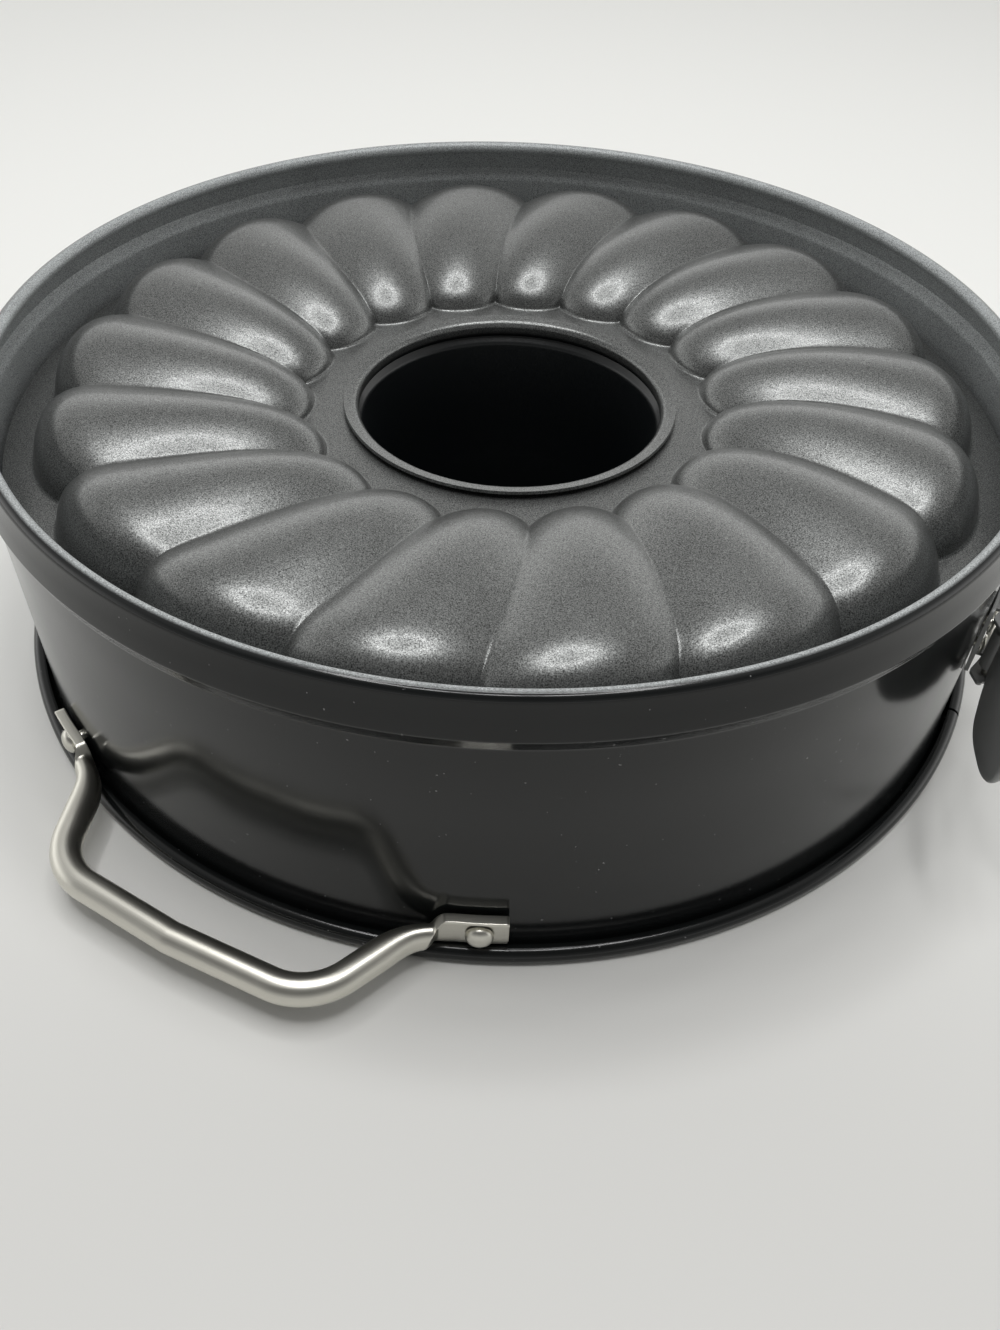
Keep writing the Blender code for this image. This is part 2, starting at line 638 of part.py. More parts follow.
def make_catch(steel, parts, cutters):
    """The plate with the upright hook behind which the bail lies."""
    catch = latch_plate("catch_plate", CATCH_PLATE_ANGLES, steel, parts)
    back = BAIL_SEAT[1] - BAIL_WIRE_RADIUS - HOOK_GAP
    low = (PLATE_INNER_RADIUS, back - HOOK_THICKNESS, LATCH_Z - HOOK_HALF_WIDTH)
    high = (HOOK_TOP, back, LATCH_Z + HOOK_HALF_WIDTH)
    hook = box_mesh("catch_hook", low, high)
    add_boolean(catch, make_cutter("catch_hook", hook, latch_matrix(), cutters), "UNION")
    cut_rivet_holes(catch, plate_rivet_places(CATCH_RIVET_ANGLE, CATCH_RIVET_OFFSET), LATCH_RIVET[0], cutters)
    return catch


def make_tongue(steel, parts):
    """The strip inside the seam, which closes it and slides along the other half's wall."""
    points = [(TONGUE_RADIUS, TONGUE_Z[1]), (TONGUE_RADIUS, TONGUE_Z[0])]
    span = (SEAM_DIRECTION + TONGUE_ANGLES[0], SEAM_DIRECTION + TONGUE_ANGLES[1])
    return turned_sheet("seam_tongue", points, span, 3, TONGUE_THICKNESS, steel, parts)


def make_axis(name, place):
    """An empty on a joint's axis."""
    axis = bpy.data.objects.new(name, None)
    bpy.context.scene.collection.objects.link(axis)
    axis.location = place
    axis.empty_display_size = 0.01
    return axis


def main():
    """Builds every piece, then hangs the moving ones on their joints' axes."""
    for thing in list(bpy.data.objects):
        bpy.data.objects.remove(thing)
    parts = bpy.data.collections.new("springform_bundt_pan")
    cutters = bpy.data.collections.new("cutters")
    bpy.context.scene.collection.children.link(parts)
    bpy.context.scene.collection.children.link(cutters)

    band_coat = make_material("band_coat", (0.035, 0.036, 0.037), 0.34, 0.0)
    insert_coat = make_material("insert_coat", (0.075, 0.078, 0.080), 0.42, 0.4)
    latch_coat = make_material("latch_coat", (0.030, 0.031, 0.033), 0.38, 0.0)
    satin_steel = make_material("satin_steel", (0.62, 0.61, 0.58), 0.30, 1.0)

    front_side = [(FRONT_HANDLE_DIRECTION + side * EAR_RIVET_ANGLE, HANDLE_Z) for side in (-1.0, 1.0)]
    back_side = [(BACK_HANDLE_DIRECTION + side * EAR_RIVET_ANGLE, HANDLE_Z) for side in (-1.0, 1.0)]
    base_side = plate_rivet_places(BASE_RIVET_ANGLE, BASE_RIVET_OFFSET)
    catch_side = plate_rivet_places(CATCH_RIVET_ANGLE, CATCH_RIVET_OFFSET)

    make_insert(insert_coat, parts)
    make_centre_tube(insert_coat, parts)
    front_rivets = [(front_side, HANDLE_RIVET[0]), (base_side, LATCH_RIVET[0])]
    make_band("band_front", SEAM_DIRECTION - 180.0, front_rivets, band_coat, parts, cutters)
    back_rivets = [(back_side, HANDLE_RIVET[0]), (catch_side, LATCH_RIVET[0])]
    back = [make_band("band_back", SEAM_DIRECTION, back_rivets, band_coat, parts, cutters)]

    make_handle("front_handle", FRONT_HANDLE_DIRECTION, satin_steel, parts, cutters)
    handle_rivets("front", FRONT_HANDLE_DIRECTION, satin_steel, parts)
    back.append(make_handle("back_handle", BACK_HANDLE_DIRECTION, satin_steel, parts, cutters))
    back += handle_rivets("back", BACK_HANDLE_DIRECTION, satin_steel, parts)

    make_latch_base(latch_coat, parts, cutters)
    latch_rivets("latch_base", base_side, satin_steel, parts)
    make_lever_pin(satin_steel, parts)
    lever = make_lever(latch_coat, parts, cutters)
    bail = make_bail(satin_steel, parts)
    back.append(make_catch(latch_coat, parts, cutters))
    back += latch_rivets("catch_plate", catch_side, satin_steel, parts)
    back.append(make_tongue(band_coat, parts))

    back_axis = make_axis("band_opening_axis", polar(WALL_RADIUS, SEAM_DIRECTION + 180.0))
    lever_axis = make_axis("lever_axis", latch_point(*PIVOT, LATCH_Z))
    bail_axis = make_axis("bail_axis", offset_in_latch(PIVOT, BAIL_ARM, BAIL_ARM_ANGLE, LATCH_Z))
    bail_axis.parent = lever_axis
    bail_axis.matrix_parent_inverse = Matrix.Translation(lever_axis.location).inverted()
    for piece in back:
        hang_on_axis(piece, back_axis)
    hang_on_axis(lever, lever_axis)
    hang_on_axis(bail, bail_axis)


main()
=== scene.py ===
"""A springform bundt pan, upside down on a pale table, seen from above and in front.

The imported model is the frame. Every piece here is a fine surface worked out with numpy from the pan's own
sizes, in metres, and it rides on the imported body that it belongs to. Directions are in degrees round the
pan's axis, counter-clockwise from +X.
"""
import math

import bmesh
import bpy
import numpy as np
from mathutils import Matrix


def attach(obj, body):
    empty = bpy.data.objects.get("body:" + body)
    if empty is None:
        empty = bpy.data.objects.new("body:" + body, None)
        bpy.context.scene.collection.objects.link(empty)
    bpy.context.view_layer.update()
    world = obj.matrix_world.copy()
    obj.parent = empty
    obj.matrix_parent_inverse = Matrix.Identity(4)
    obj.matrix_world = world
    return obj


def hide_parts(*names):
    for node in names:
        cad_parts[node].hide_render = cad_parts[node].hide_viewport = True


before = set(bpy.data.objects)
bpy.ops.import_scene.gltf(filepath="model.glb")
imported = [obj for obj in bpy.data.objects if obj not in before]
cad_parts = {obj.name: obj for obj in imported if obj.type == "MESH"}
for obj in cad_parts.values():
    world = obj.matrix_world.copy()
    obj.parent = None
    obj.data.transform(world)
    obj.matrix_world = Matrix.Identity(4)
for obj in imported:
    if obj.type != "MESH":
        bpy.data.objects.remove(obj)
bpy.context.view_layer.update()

# Band
SHEET = 0.0008
WALL_RADIUS = 0.1304            # middle of the sheet
RIM_ROLL_RADIUS = 0.00185
RIM_ROLL_CENTRE = (0.1332, 0.00211)
RIM_ROLL_TURN = (112.5, -160.0)
RIM_FLARE_FOOT = (0.13100, 0.0036)
RIM_FLARE_TOP = 0.0080
GROOVE_FOOT_Z = 0.0664
GROOVE_RIDGE = (0.13185, 0.0700)
BEAD_RADIUS = 0.0014
BEAD_CENTRE = (0.1288, 0.0776)
BEAD_TURN = 238.0
BEAD_COAT_AND_HIGHLIGHT_RADIUS = 0.1293       # how far out over the bead the inside coat reaches; its light band along the bead's top is also a painted highlight
BEAD_COAT_AND_HIGHLIGHT_FADE = 0.0007
BAND_BENDS = (0.0, 0.0040, 0.0120, 0.0028, 0.0009, 0.0)  # radius at each corner of the section
BAND_STEP = 0.004               # longest straight step along the section
SEAM_DIRECTION = -25.0
SEAM_HALF_GAP = 0.18
FAR_SEAM_HALF_GAP = 0.005       # opposite the latch, where the real strip has no seam
BAND_COLUMNS = 200

# Insert
FLUTE_COUNT = 18
FLUTE_COLUMNS = 36              # steps across one flute
FLUTE_ROWS = 46                 # and along it
VALLEY_DIRECTION = -92.2
FLUTE_SWIRL = 8.0
INSERT_TOP_Z = 0.0580
INSERT_EDGE_RADIUS = 0.1285
INSERT_HOLE_RADIUS = 0.0415
CREST_HEIGHT = 0.0146
VALLEY_HEIGHT = 0.0104
VALLEY_SOFTNESS = 0.03          # half width of a valley's rounding, as a share of half a flute
OUTER_VALLEY_RADIUS = 0.1155
OUTER_LOBE_REACH = 0.0055
INNER_VALLEY_RADIUS = 0.0565
INNER_LOBE_REACH = 0.0045
CREST_PEAK = 0.74               # share of a flute's length at which it is highest
CREST_INWARD = (2.4, 0.55)      # the two powers of the crest's fall, inward and outward
CREST_OUTWARD = (3.2, 0.588)
LOBE_POWER = 0.7
FOOT_ROUNDING = 0.0011
FOOT_TURN = 72.0                # how far the rounding turns before it meets the flute
FOOT_ROWS = 7
FLANGE_ROWS = 4
SEAT_END = 0.94                 # shares of the flat rings that keep clear of the rounding
FLANGE_START = 0.06

# Centre tube
COLLAR_EDGE = (0.0442, 0.05975)
COLLAR_CRIMP = ((0.0414, 0.0592), (0.0407, 0.0582), (0.0407, 0.0564), (0.0418, 0.0551))
TUBE_NECK = (0.0400, 0.0532)
TUBE_TAPER = (0.0352, 0.0270)
TUBE_BENDS = (0.0, 0.0012, 0.0010, 0.0007, 0.0008, 0.0020, 0.0100, 0.0)
TUBE_FOOT_RADIUS = 0.0305
TUBE_FOOT_FLAT = 0.0140
TUBE_COLUMNS = 144
TUBE_FOOT_ROUNDING = 0.0030
BORE_COAT_Z = (0.0560, 0.0585)  # heights in the bore where the dark coat is full and ends

# Handles
HANDLE_DIRECTIONS = {"front": -116.0, "back": 64.0}
HANDLE_TUBE_RADIUS = 0.0035
HANDLE_Z = 0.0090
HANDLE_GRIP = (0.1505, 0.0338)  # outward and sideways, in the handle's own frame
HANDLE_BOW = 0.0018
HANDLE_KNEE = (0.1372, 18.0)
HANDLE_JOINT = (0.1354, 21.4)
HANDLE_BEND_RADIUS = 0.0150
EAR_INNER_RADIUS = 0.1316
EAR_HALF_THICKNESS = 0.0007
EAR_ANGLES = (19.4, 27.9)
EAR_Z = (0.0050, 0.0145)
EAR_LIP = 0.0012
EAR_LIP_BAND = (0.80, 0.06)     # where the lip starts and how fast it rises, in half heights
EAR_CREASE = (19.5, 20.8)       # where the tube starts to go flat, at its bottom and at its top
EAR_CREASE_LENGTH = 1.3
EAR_SQUARENESS = 6.0            # how much squarer than round the flat section is
EAR_PRESSED = (15.5, 20.5)      # where the tube's outer side draws in before the crease
EAR_PRESSED_SHARE = 0.30
EAR_CORNERS = (0.0003, 0.0011)  # at the ear's end, above and below
EAR_SETTLE = 0.25               # share of its length over which the ear reaches its own radius
EAR_ROWS = 44
EAR_RIVET_ANGLE = 25.2
HANDLE_ROWS = 150
SECTION_POINTS = 64

# Rivets: radius of the shank, outer head and inner head, and how far the outer head stands up
HANDLE_RIVET = (0.0015, 0.0031, 0.0030, 0.0023)
LATCH_RIVET = (0.0013, 0.0024, 0.0026, 0.0010)
RIVET_EDGE = 0.15               # share of the outer head's rise that is its upright edge
RIVET_COLUMNS = 36
RIVET_INNER_HEAD = (0.1289, 0.1297)
SMALL_GAP = 0.0003

# Latch, in its own frame: u points outward at the seam, v runs round the pan, away from the lever
LATCH_Z = 0.0390
PLATE_INNER_RADIUS = 0.13115
PLATE_THICKNESS = 0.0010
PLATE_HALF_HEIGHT = 0.0100
PLATE_CORNER = 0.0022
PLATE_EDGE = 0.4                # rounding of a plate's long edges, as a share of half its thickness
PLATE_ROWS = 41
CUT_EDGE = 0.0002               # rounding of the edges of a flat cut piece
BASE_PLATE_ANGLES = (-6.1, -0.5)
CATCH_PLATE_ANGLES = (1.8, 13.0)
BASE_RIVET_ANGLE = -3.93
CATCH_RIVET_ANGLE = 10.4
BASE_RIVET_OFFSET = 0.0033
CATCH_RIVET_OFFSET = 0.0060
PIVOT = (0.1362, -0.0056)
PIVOT_PIN_RADIUS = 0.0010
PIN_HEAD_RADIUS = 0.0019
PIN_HEAD_HEIGHT = 0.0007
PIN_HEAD_ROUNDING = 0.0004
PIN_COLUMNS = 32
FLANGE_Z = (0.0066, 0.0076)
FLANGE_RADIUS = 0.0030
FLANGE_ROOT = ((-0.0048, -0.0030), (-0.0046, 0.0030))
FLANGE_MIDDLE = (-0.0020, 0.0)
EAR_PLATE_Z = (0.0079, 0.0089)  # the lever's two ears, outside the flanges
EAR_PLATE_RADIUS = 0.0026
EAR_PLATE_TIP = (-0.0019, -0.0114)
EAR_PLATE_TIP_RADIUS = 0.0008
EAR_PLATE_OUTER = ((0.0010, -0.0050), (0.0008, -0.0096))
EAR_PLATE_INNER = ((-0.0044, -0.0090), (-0.0044, -0.0078), (-0.0030, -0.0030))
EAR_PLATE_MIDDLE = (-0.0012, -0.0058)
LEVER_ANGLE = -90.0
LEVER_START = 0.0034
LEVER_LENGTH = 0.0465
LEVER_HALF_THICKNESS = 0.0010
LEVER_NECK_HALF = 0.0089
LEVER_PADDLE_HALF = 0.0110
LEVER_WIDENS = (0.0110, 0.0180)
LEVER_FLARE = (0.0225, 0.0325)  # where the lever starts and ends to curve outward
LEVER_FLARE_RADIUS = 0.0300
LEVER_ROWS = 90
LEVER_CROWDING = 1.6            # the power that crowds the rows toward the tip
LEVER_FLAT = 1.15               # the section is drawn this much too thick, then cut flat
LEVER_EDGE = 0.9                # rounding of the long edges, as a share of half the thickness
LEVER_EYE = (0.0024, 0.0055)
LEVER_EYE_ROUNDING = 0.0003
LEVER_EYE_COLUMNS = 40
BAIL_ARM = 0.0080
BAIL_ARM_ANGLE = -97.0
BAIL_WIRE_RADIUS = 0.0011
BAIL_HALF_WIDTH = 0.0113
BAIL_CORNER_RADIUS = 0.0024
BAIL_ROWS = 160
BAIL_COLUMNS = 20
BAIL_SEAT = (0.1342, 0.0160)
HOOK_GAP = 0.0016
HOOK_THICKNESS = 0.0010
HOOK_TOP = 0.1350
HOOK_HALF_WIDTH = 0.0055
HOOK_CLEAR = 0.0003             # from the hook's foot to the plate's inner face
HOOK_BENDS = (0.0, 0.0002, 0.0014, 0.0014, 0.0002, 0.0)
TONGUE_ANGLES = (-2.4, 4.0)
TONGUE_RADIUS = 0.12940
TONGUE_HALF_THICKNESS = 0.00035
TONGUE_Z = (0.0090, 0.0565)
TONGUE_CORNER = 0.0015

# Finishes: colours are linear, patches are noise by scale and detail, and a roughness is its lowest value
# and what patches, or lines and patches, add to it
COAT_EVENNESS = (0.86, 0.28)    # a grey's lowest level, and what patches add to it
GRAIN_SCALE = 3600.0
INSERT_PATCHES = (45.0, 4.0)
INSERT_ROUGHNESS = (0.32, 0.06)
INSERT_GREY = (0.156, 0.160, 0.157)
INSERT_GRAIN = 3.4
INSERT_FLECKS = (1.0 / 0.00030, 0.06)  # flecks in a metre, and how far they lean
INSERT_METAL = 0.76
BORE_BLACK = (0.0030, 0.0042, 0.0050, 1.0)
BORE_METAL_LOSS = 0.71
BAND_PATCHES = (60.0, 4.0)
BAND_ROUGHNESS = (0.12, 0.05)
INSIDE_GREY = (0.330, 0.346, 0.348)
INSIDE_GRAIN = 2.6
INSIDE_FLECKS = (3300.0, 0.14)
INSIDE_ROUGHER = 0.33
INSIDE_METAL = 0.25
ENAMEL_PEEL = (700.0, 0.00002, 0.4)  # orange peel by scale, height and strength
ENAMEL = ((0.0060, 0.0068, 0.0070, 1.0), (0.0090, 0.0100, 0.0100, 1.0))
DUST_GREY = (0.35, 0.35, 0.35, 1.0)
DUST_SCALE = 1300.0
DUST_RANGE = (0.85, 0.88)       # noise above this shows as a speck
LACQUER_PATCHES = (90.0, 3.0)
LACQUER_ROUGHNESS = (0.32, 0.12)
LACQUER_PEEL = (900.0, 0.00003, 0.6)
LACQUER = ((0.290, 0.295, 0.292, 1.0), (0.330, 0.335, 0.330, 1.0))
STEEL_PATCHES = (120.0, 3.0)
STEEL_ROUGHNESS = (0.22, 0.12, 0.10)
STEEL = ((0.60, 0.585, 0.525, 1.0), (0.72, 0.705, 0.64, 1.0))
STEEL_LINES = (60.0, 5200.0)    # lines in a metre, along the piece and around it
STEEL_LINE_DEPTH = 0.00001
# the table's own pale colour, then the greyer colour where its painted shade in front of the pan is full
TABLE_AND_PAINTED_SHADE = ((0.86, 0.86, 0.835, 1.0), (0.665, 0.66, 0.64, 1.0))
TABLE_PAINTED_SHADE = (0.02, 0.20)      # from where to where in front of the axis the painted shade on the table comes in

# Camera, worked out from the photograph
CAMERA_PLACE = (0.0002, -0.2595, 0.2147)
CAMERA_PITCH = 44.636
CAMERA_ROLL = 2.315
CAMERA_LENS = 29.77
CAMERA_SENSOR = 36.0

# Room
FLOOR_SIZE = 6.0
RING_LAMPS = 12
RING_HEIGHT = 1.10
RING_RADIUS = 0.30
RING_LAMP_SIZE = 0.13
RING_LAMP_POWER = 0.70
ROOM_LEVEL = 1.50
ROOM_BLUE = 0.985
OVERHEAD_LOSS = 1.02
OVERHEAD_RISE = (0.20, 0.62)    # from which height of view to which the room gets dimmer
VIEWER_LOSS = 0.78
VIEWER_RISE = (-0.10, 0.55)     # and toward the viewer, by direction
VIEWER_FLOOR = (-0.06, 0.12)    # and by height

WELD_DISTANCE = 0.0000004
SLIVER_LENGTH = 0.0000002
SHARP_ANGLE = 40.0

LOOKS = {}                      # each slot's material


class Number:
    """A socket that carries one number, so that sums on it are written as Python expressions."""

    def __init__(self, paint, socket):
        self.paint = paint
        self.socket = socket

    def __add__(self, other):
        return self.paint.math("ADD", self, other)

    __radd__ = __add__

    def __sub__(self, other):
        return self.paint.math("SUBTRACT", self, other)

    def __rsub__(self, other):
        return self.paint.math("SUBTRACT", other, self)

    def __mul__(self, other):
        return self.paint.math("MULTIPLY", self, other)

    __rmul__ = __mul__


class Paint:
    """A node tree that is being written, for a material or for the world."""

    def __init__(self, owner):
        owner.use_nodes = True
        self.tree = owner.node_tree
        self.tree.nodes.clear()

    def node(self, kind, settings=None, inputs=None):
        """A new node: its settings first, then the values or links of its sockets."""
        node = self.tree.nodes.new(kind)
        for name, value in (settings or {}).items():
            setattr(node, name, value)
        for name, value in (inputs or {}).items():
            socket = node.inputs[name]
            if isinstance(value, Number):
                self.tree.links.new(value.socket, socket)
            else:
                socket.default_value = value
        return node

    def out(self, kind, settings=None, inputs=None, output=0):
        """One output of a new node."""
        return Number(self, self.node(kind, settings, inputs).outputs[output])

    def math(self, operation, *values):
        """A Math node on numbers."""
        return self.out("ShaderNodeMath", {"operation": operation}, dict(enumerate(values)))

    def vector(self, operation, *values):
        """A Vector Math node on vectors."""
        return self.out("ShaderNodeVectorMath", {"operation": operation}, dict(enumerate(values)))

    def scaled(self, vector, scale):
        """A vector times a number."""
        return self.out("ShaderNodeVectorMath", {"operation": "SCALE"}, {0: vector, "Scale": scale})

    def ramp(self, value, low, high):
        """Rises smoothly from 0 to 1 as a value goes from low to high."""
        inputs = {"Value": value, "From Min": low, "From Max": high}
        return self.out("ShaderNodeMapRange", {"interpolation_type": "SMOOTHSTEP"}, inputs)

    def noise(self, place, scale, detail):
        """Soft noise, about 0.5 on average."""
        return self.out("ShaderNodeTexNoise", None, {"Vector": place, "Scale": scale, "Detail": detail})

    def cells(self, place, scale):
        """A random colour for each cell of a fine honeycomb."""
        return self.out("ShaderNodeTexVoronoi", None, {"Vector": place, "Scale": scale}, "Color")

    def blend(self, factor, first, second):
        """A colour that goes from the first to the second."""
        settings = {"data_type": "RGBA", "clamp_factor": True}
        return self.out("ShaderNodeMix", settings, {0: factor, 6: first, 7: second}, 2)

    def place(self):
        """Object coordinates, in metres."""
        return self.out("ShaderNodeTexCoord", output="Object")

    def inside(self):
        """How much of the inside coat a point has, which the mesh carries."""
        return self.out("ShaderNodeAttribute", {"attribute_name": "inside"}, output="Fac")

    def run(self):
        """The piece's own lengths along and around, in metres."""
        return self.out("ShaderNodeUVMap", {"uv_map": "run"})

    def stretched(self, vector, along, around):
        """The same place with its two directions scaled unlike each other."""
        return self.out("ShaderNodeMapping", None, {"Vector": vector, "Scale": (along, around, 1.0)})

    def surface(self, base, roughness, metallic, normal=None, **constants):
        """Ends the material with a Principled shader."""
        inputs = {"Base Color": base, "Roughness": roughness, "Metallic": metallic}
        if normal is not None:
            inputs["Normal"] = normal
        for name, value in constants.items():
            inputs[name.replace("_", " ")] = value
        shader = self.out("ShaderNodeBsdfPrincipled", None, inputs)
        self.node("ShaderNodeOutputMaterial", None, {"Surface": shader})


def new_paint(name):
    """An empty material and its node tree."""
    material = bpy.data.materials.new(name)
    return material, Paint(material)


def grained(paint, place, patches, grey, grain):
    """A grey times a level that soft patches lift and fine grain moves up and down."""
    speckle = paint.noise(place, GRAIN_SCALE, 1.0)
    level = COAT_EVENNESS[0] + COAT_EVENNESS[1] * patches + grain * (speckle - 0.5)
    colour = paint.out("ShaderNodeCombineXYZ", None, dict(enumerate(grey)))
    return paint.scaled(colour, level)


def flecked(paint, normal, place, per_metre, tilt):
    """A normal, turned a little in each fleck of metal."""
    fleck = paint.cells(place, per_metre)
    lean = paint.scaled(paint.vector("SUBTRACT", fleck, (0.5, 0.5, 0.5)), tilt)
    return paint.vector("NORMALIZE", paint.vector("ADD", normal, lean))


def bumped(paint, height, distance, strength):
    """A Bump node on a height from 0 to 1."""
    inputs = {"Height": height, "Distance": distance, "Strength": strength}
    return paint.out("ShaderNodeBump", None, inputs)


def peeled(paint, place, scale, height, strength):
    """The normal of a coat with a fine orange peel."""
    return bumped(paint, paint.noise(place, scale, 2.0), height, strength)


def make_insert_coat():
    """Grey non-stick coat, full of fine metal flake under a thin clear skin.

    The bore of the tube is near black.
    """
    material, paint = new_paint("insert_coat")
    place = paint.place()
    patches = paint.noise(place, *INSERT_PATCHES)
    bore = paint.inside()
    base = paint.blend(bore, grained(paint, place, patches, INSERT_GREY, INSERT_GRAIN), BORE_BLACK)
    roughness = INSERT_ROUGHNESS[0] + INSERT_ROUGHNESS[1] * patches
    straight = paint.out("ShaderNodeNewGeometry", output="Normal")
    normal = flecked(paint, straight, place, *INSERT_FLECKS)
    metallic = INSERT_METAL - BORE_METAL_LOSS * bore
    paint.surface(base, roughness, metallic, normal, Coat_Weight=0.20, Coat_Roughness=0.12)
    return material


def make_band_coat():
    """Black gloss enamel outside, and inside and over the bead a grey coat with metal flake; the grey over
    the bead's top is also a painted highlight.
    """
    material, paint = new_paint("band_coat")
    place = paint.place()
    inside = paint.inside()
    patches = paint.noise(place, *BAND_PATCHES)
    dust = paint.ramp(paint.noise(place, DUST_SCALE, 0.0), *DUST_RANGE)
    enamel = paint.blend(dust * 0.5, paint.blend(patches, *ENAMEL), DUST_GREY)
    flaked = grained(paint, place, patches, INSIDE_GREY, INSIDE_GRAIN)
    base = paint.blend(inside, enamel, flaked)
    roughness = BAND_ROUGHNESS[0] + BAND_ROUGHNESS[1] * patches + INSIDE_ROUGHER * inside
    peel = peeled(paint, place, *ENAMEL_PEEL)
    normal = flecked(paint, peel, place, INSIDE_FLECKS[0], INSIDE_FLECKS[1] * inside)
    paint.surface(base, roughness, INSIDE_METAL * inside, normal, IOR=1.42)
    return material


def make_latch_coat():
    """Mid-grey semi-gloss lacquer with a fine orange peel."""
    material, paint = new_paint("latch_coat")
    place = paint.place()
    patches = paint.noise(place, *LACQUER_PATCHES)
    base = paint.blend(patches, *LACQUER)
    roughness = LACQUER_ROUGHNESS[0] + LACQUER_ROUGHNESS[1] * patches
    paint.surface(base, roughness, 0.25, peeled(paint, place, *LACQUER_PEEL))
    return material


def make_satin_steel():
    """Satin stainless steel, a little warm, with fine lines along the piece."""
    material, paint = new_paint("satin_steel")
    lines = paint.noise(paint.stretched(paint.run(), *STEEL_LINES), 1.0, 4.0)
    patches = paint.noise(paint.place(), *STEEL_PATCHES)
    base = paint.blend(lines, *STEEL)
    roughness = STEEL_ROUGHNESS[0] + STEEL_ROUGHNESS[1] * lines + STEEL_ROUGHNESS[2] * patches
    paint.surface(base, roughness, 1.0, bumped(paint, lines, STEEL_LINE_DEPTH, 0.4))
    return material


def make_floor_paint():
    """Plain pale table, with painted shade that makes it greyer toward the viewer, in front of the pan."""
    material, paint = new_paint("pale_table")
    parts = paint.node("ShaderNodeSeparateXYZ", None, {0: paint.place()})
    # painted shade: the table greys toward the viewer, where the pan shades it
    painted_shade = paint.ramp(Number(paint, parts.outputs[1]) * -1.0, *TABLE_PAINTED_SHADE)
    base = paint.blend(painted_shade, *TABLE_AND_PAINTED_SHADE)
    paint.surface(base, 0.6, 0.0)
    return material


def polar(radius, direction, z):
    """Points at a radius and direction round the pan's axis, from arrays that fit together."""
    angle = np.radians(direction)
    radius, angle, z = np.broadcast_arrays(radius, angle, z)
    return np.stack((radius * np.cos(angle), radius * np.sin(angle), z), -1)


def arc(centre, radius, start, end, steps):
    """Points of a plane along an arc, from one direction to another."""
    angle = np.radians(np.linspace(start, end, steps + 1))
    return np.stack((centre[0] + radius * np.cos(angle), centre[1] + radius * np.sin(angle)), -1)


def rounded(corners, radius, steps):
    """A path through corners, each inner one replaced by an arc that touches both its sides."""
    corners = [np.asarray(corner, float) for corner in corners]
    radii = np.broadcast_to(radius, len(corners))
    path = [corners[0][None]]
    for before, corner, after, bend in zip(corners, corners[1:], corners[2:], radii[1:]):
        back = (before - corner) / np.linalg.norm(before - corner)
        ahead = (after - corner) / np.linalg.norm(after - corner)
        half = math.acos(np.clip(back @ ahead, -1.0, 1.0)) / 2.0
        middle = (back + ahead) / np.linalg.norm(back + ahead)
        centre = corner + middle * bend / math.sin(half)
        start = corner + back * bend / math.tan(half) - centre
        end = corner + ahead * bend / math.tan(half) - centre
        sweep = math.pi - 2.0 * half
        share = np.linspace(0.0, 1.0, steps + 1)[:, None]
        spoke = (np.sin((1.0 - share) * sweep) * start + np.sin(share * sweep) * end) / math.sin(sweep)
        path.append(centre + spoke)
    path.append(corners[-1][None])
    return np.concatenate(path)


def spaced(path, count):
    """The same path with evenly spaced points."""
    length = np.concatenate(([0.0], np.cumsum(np.linalg.norm(np.diff(path, axis=0), axis=1))))
    wanted = np.linspace(0.0, length[-1], count)
    return np.stack([np.interp(wanted, length, path[:, axis]) for axis in range(path.shape[1])], -1)


def right_side(path):
    """Unit steps to the right of a path in its plane."""
    run = np.gradient(path, axis=0)
    return np.stack((run[:, 1], -run[:, 0]), -1) / np.linalg.norm(run, axis=1, keepdims=True)


def with_thickness(profile, half):
    """The closed outline of a sheet: its middle line moved to the right, then back along the left."""
    side = right_side(profile)
    return np.concatenate((profile + half * side, (profile - half * side)[::-1]))


def gentle(share):
    """A share kept from 0 to 1, that starts and ends gently."""
    share = np.clip(share, 0.0, 1.0)
    return share * share * (3.0 - 2.0 * share)


def section_angles():
    """Directions of a section's points, half a step off the axes so that all four sides are alike."""
    return np.radians(np.arange(SECTION_POINTS) * 360.0 / SECTION_POINTS + 180.0 / SECTION_POINTS)


def even(outline):
    """The same loop with an even count of points, so that its ends can be laddered shut."""
    return outline[len(outline) % 2:]


def surface_mesh(name, places, wrap_rows=False, wrap_columns=False, values=None):
    """A grid of points joined by quads, with its lengths along rows and columns as the UV map 'run'.

    Values, one for each column or for each row, go into the attribute 'inside'.
    """
    rows, columns = places.shape[:2]
    low = np.arange(rows if wrap_rows else rows - 1)
    left = np.arange(columns if wrap_columns else columns - 1)
    low, left = (part.ravel() for part in np.meshgrid(low, left, indexing="ij"))
    corner_row = np.stack((low, low, low + 1, low + 1), -1)
    corner_column = np.stack((left, left + 1, left + 1, left), -1)
    faces = (corner_row % rows) * columns + corner_column % columns
    along = step_lengths(places, 0)
    around = step_lengths(places, 1)
    mesh = bpy.data.meshes.new(name)
    mesh.from_pydata(places.reshape(-1, 3).tolist(), [], faces.tolist())
    layer = mesh.uv_layers.new(name="run")
    corners = np.stack((along[corner_row], around[corner_column]), -1)
    layer.data.foreach_set("uv", corners.astype(np.float32).ravel())
    if values is not None:
        attribute = mesh.attributes.new("inside", "FLOAT", "POINT")
        spread = np.broadcast_to(values, (rows, columns)).astype(np.float32)
        attribute.data.foreach_set("value", spread.ravel())
    return mesh


def step_lengths(places, axis):
    """Lengths along one direction of a grid, averaged over the other, and once round again."""
    closed = np.concatenate((places, np.take(places, [0], axis)), axis)
    steps = np.linalg.norm(np.diff(closed, axis=axis), axis=2).mean(1 - axis)
    return np.concatenate(([0.0], np.cumsum(steps)))


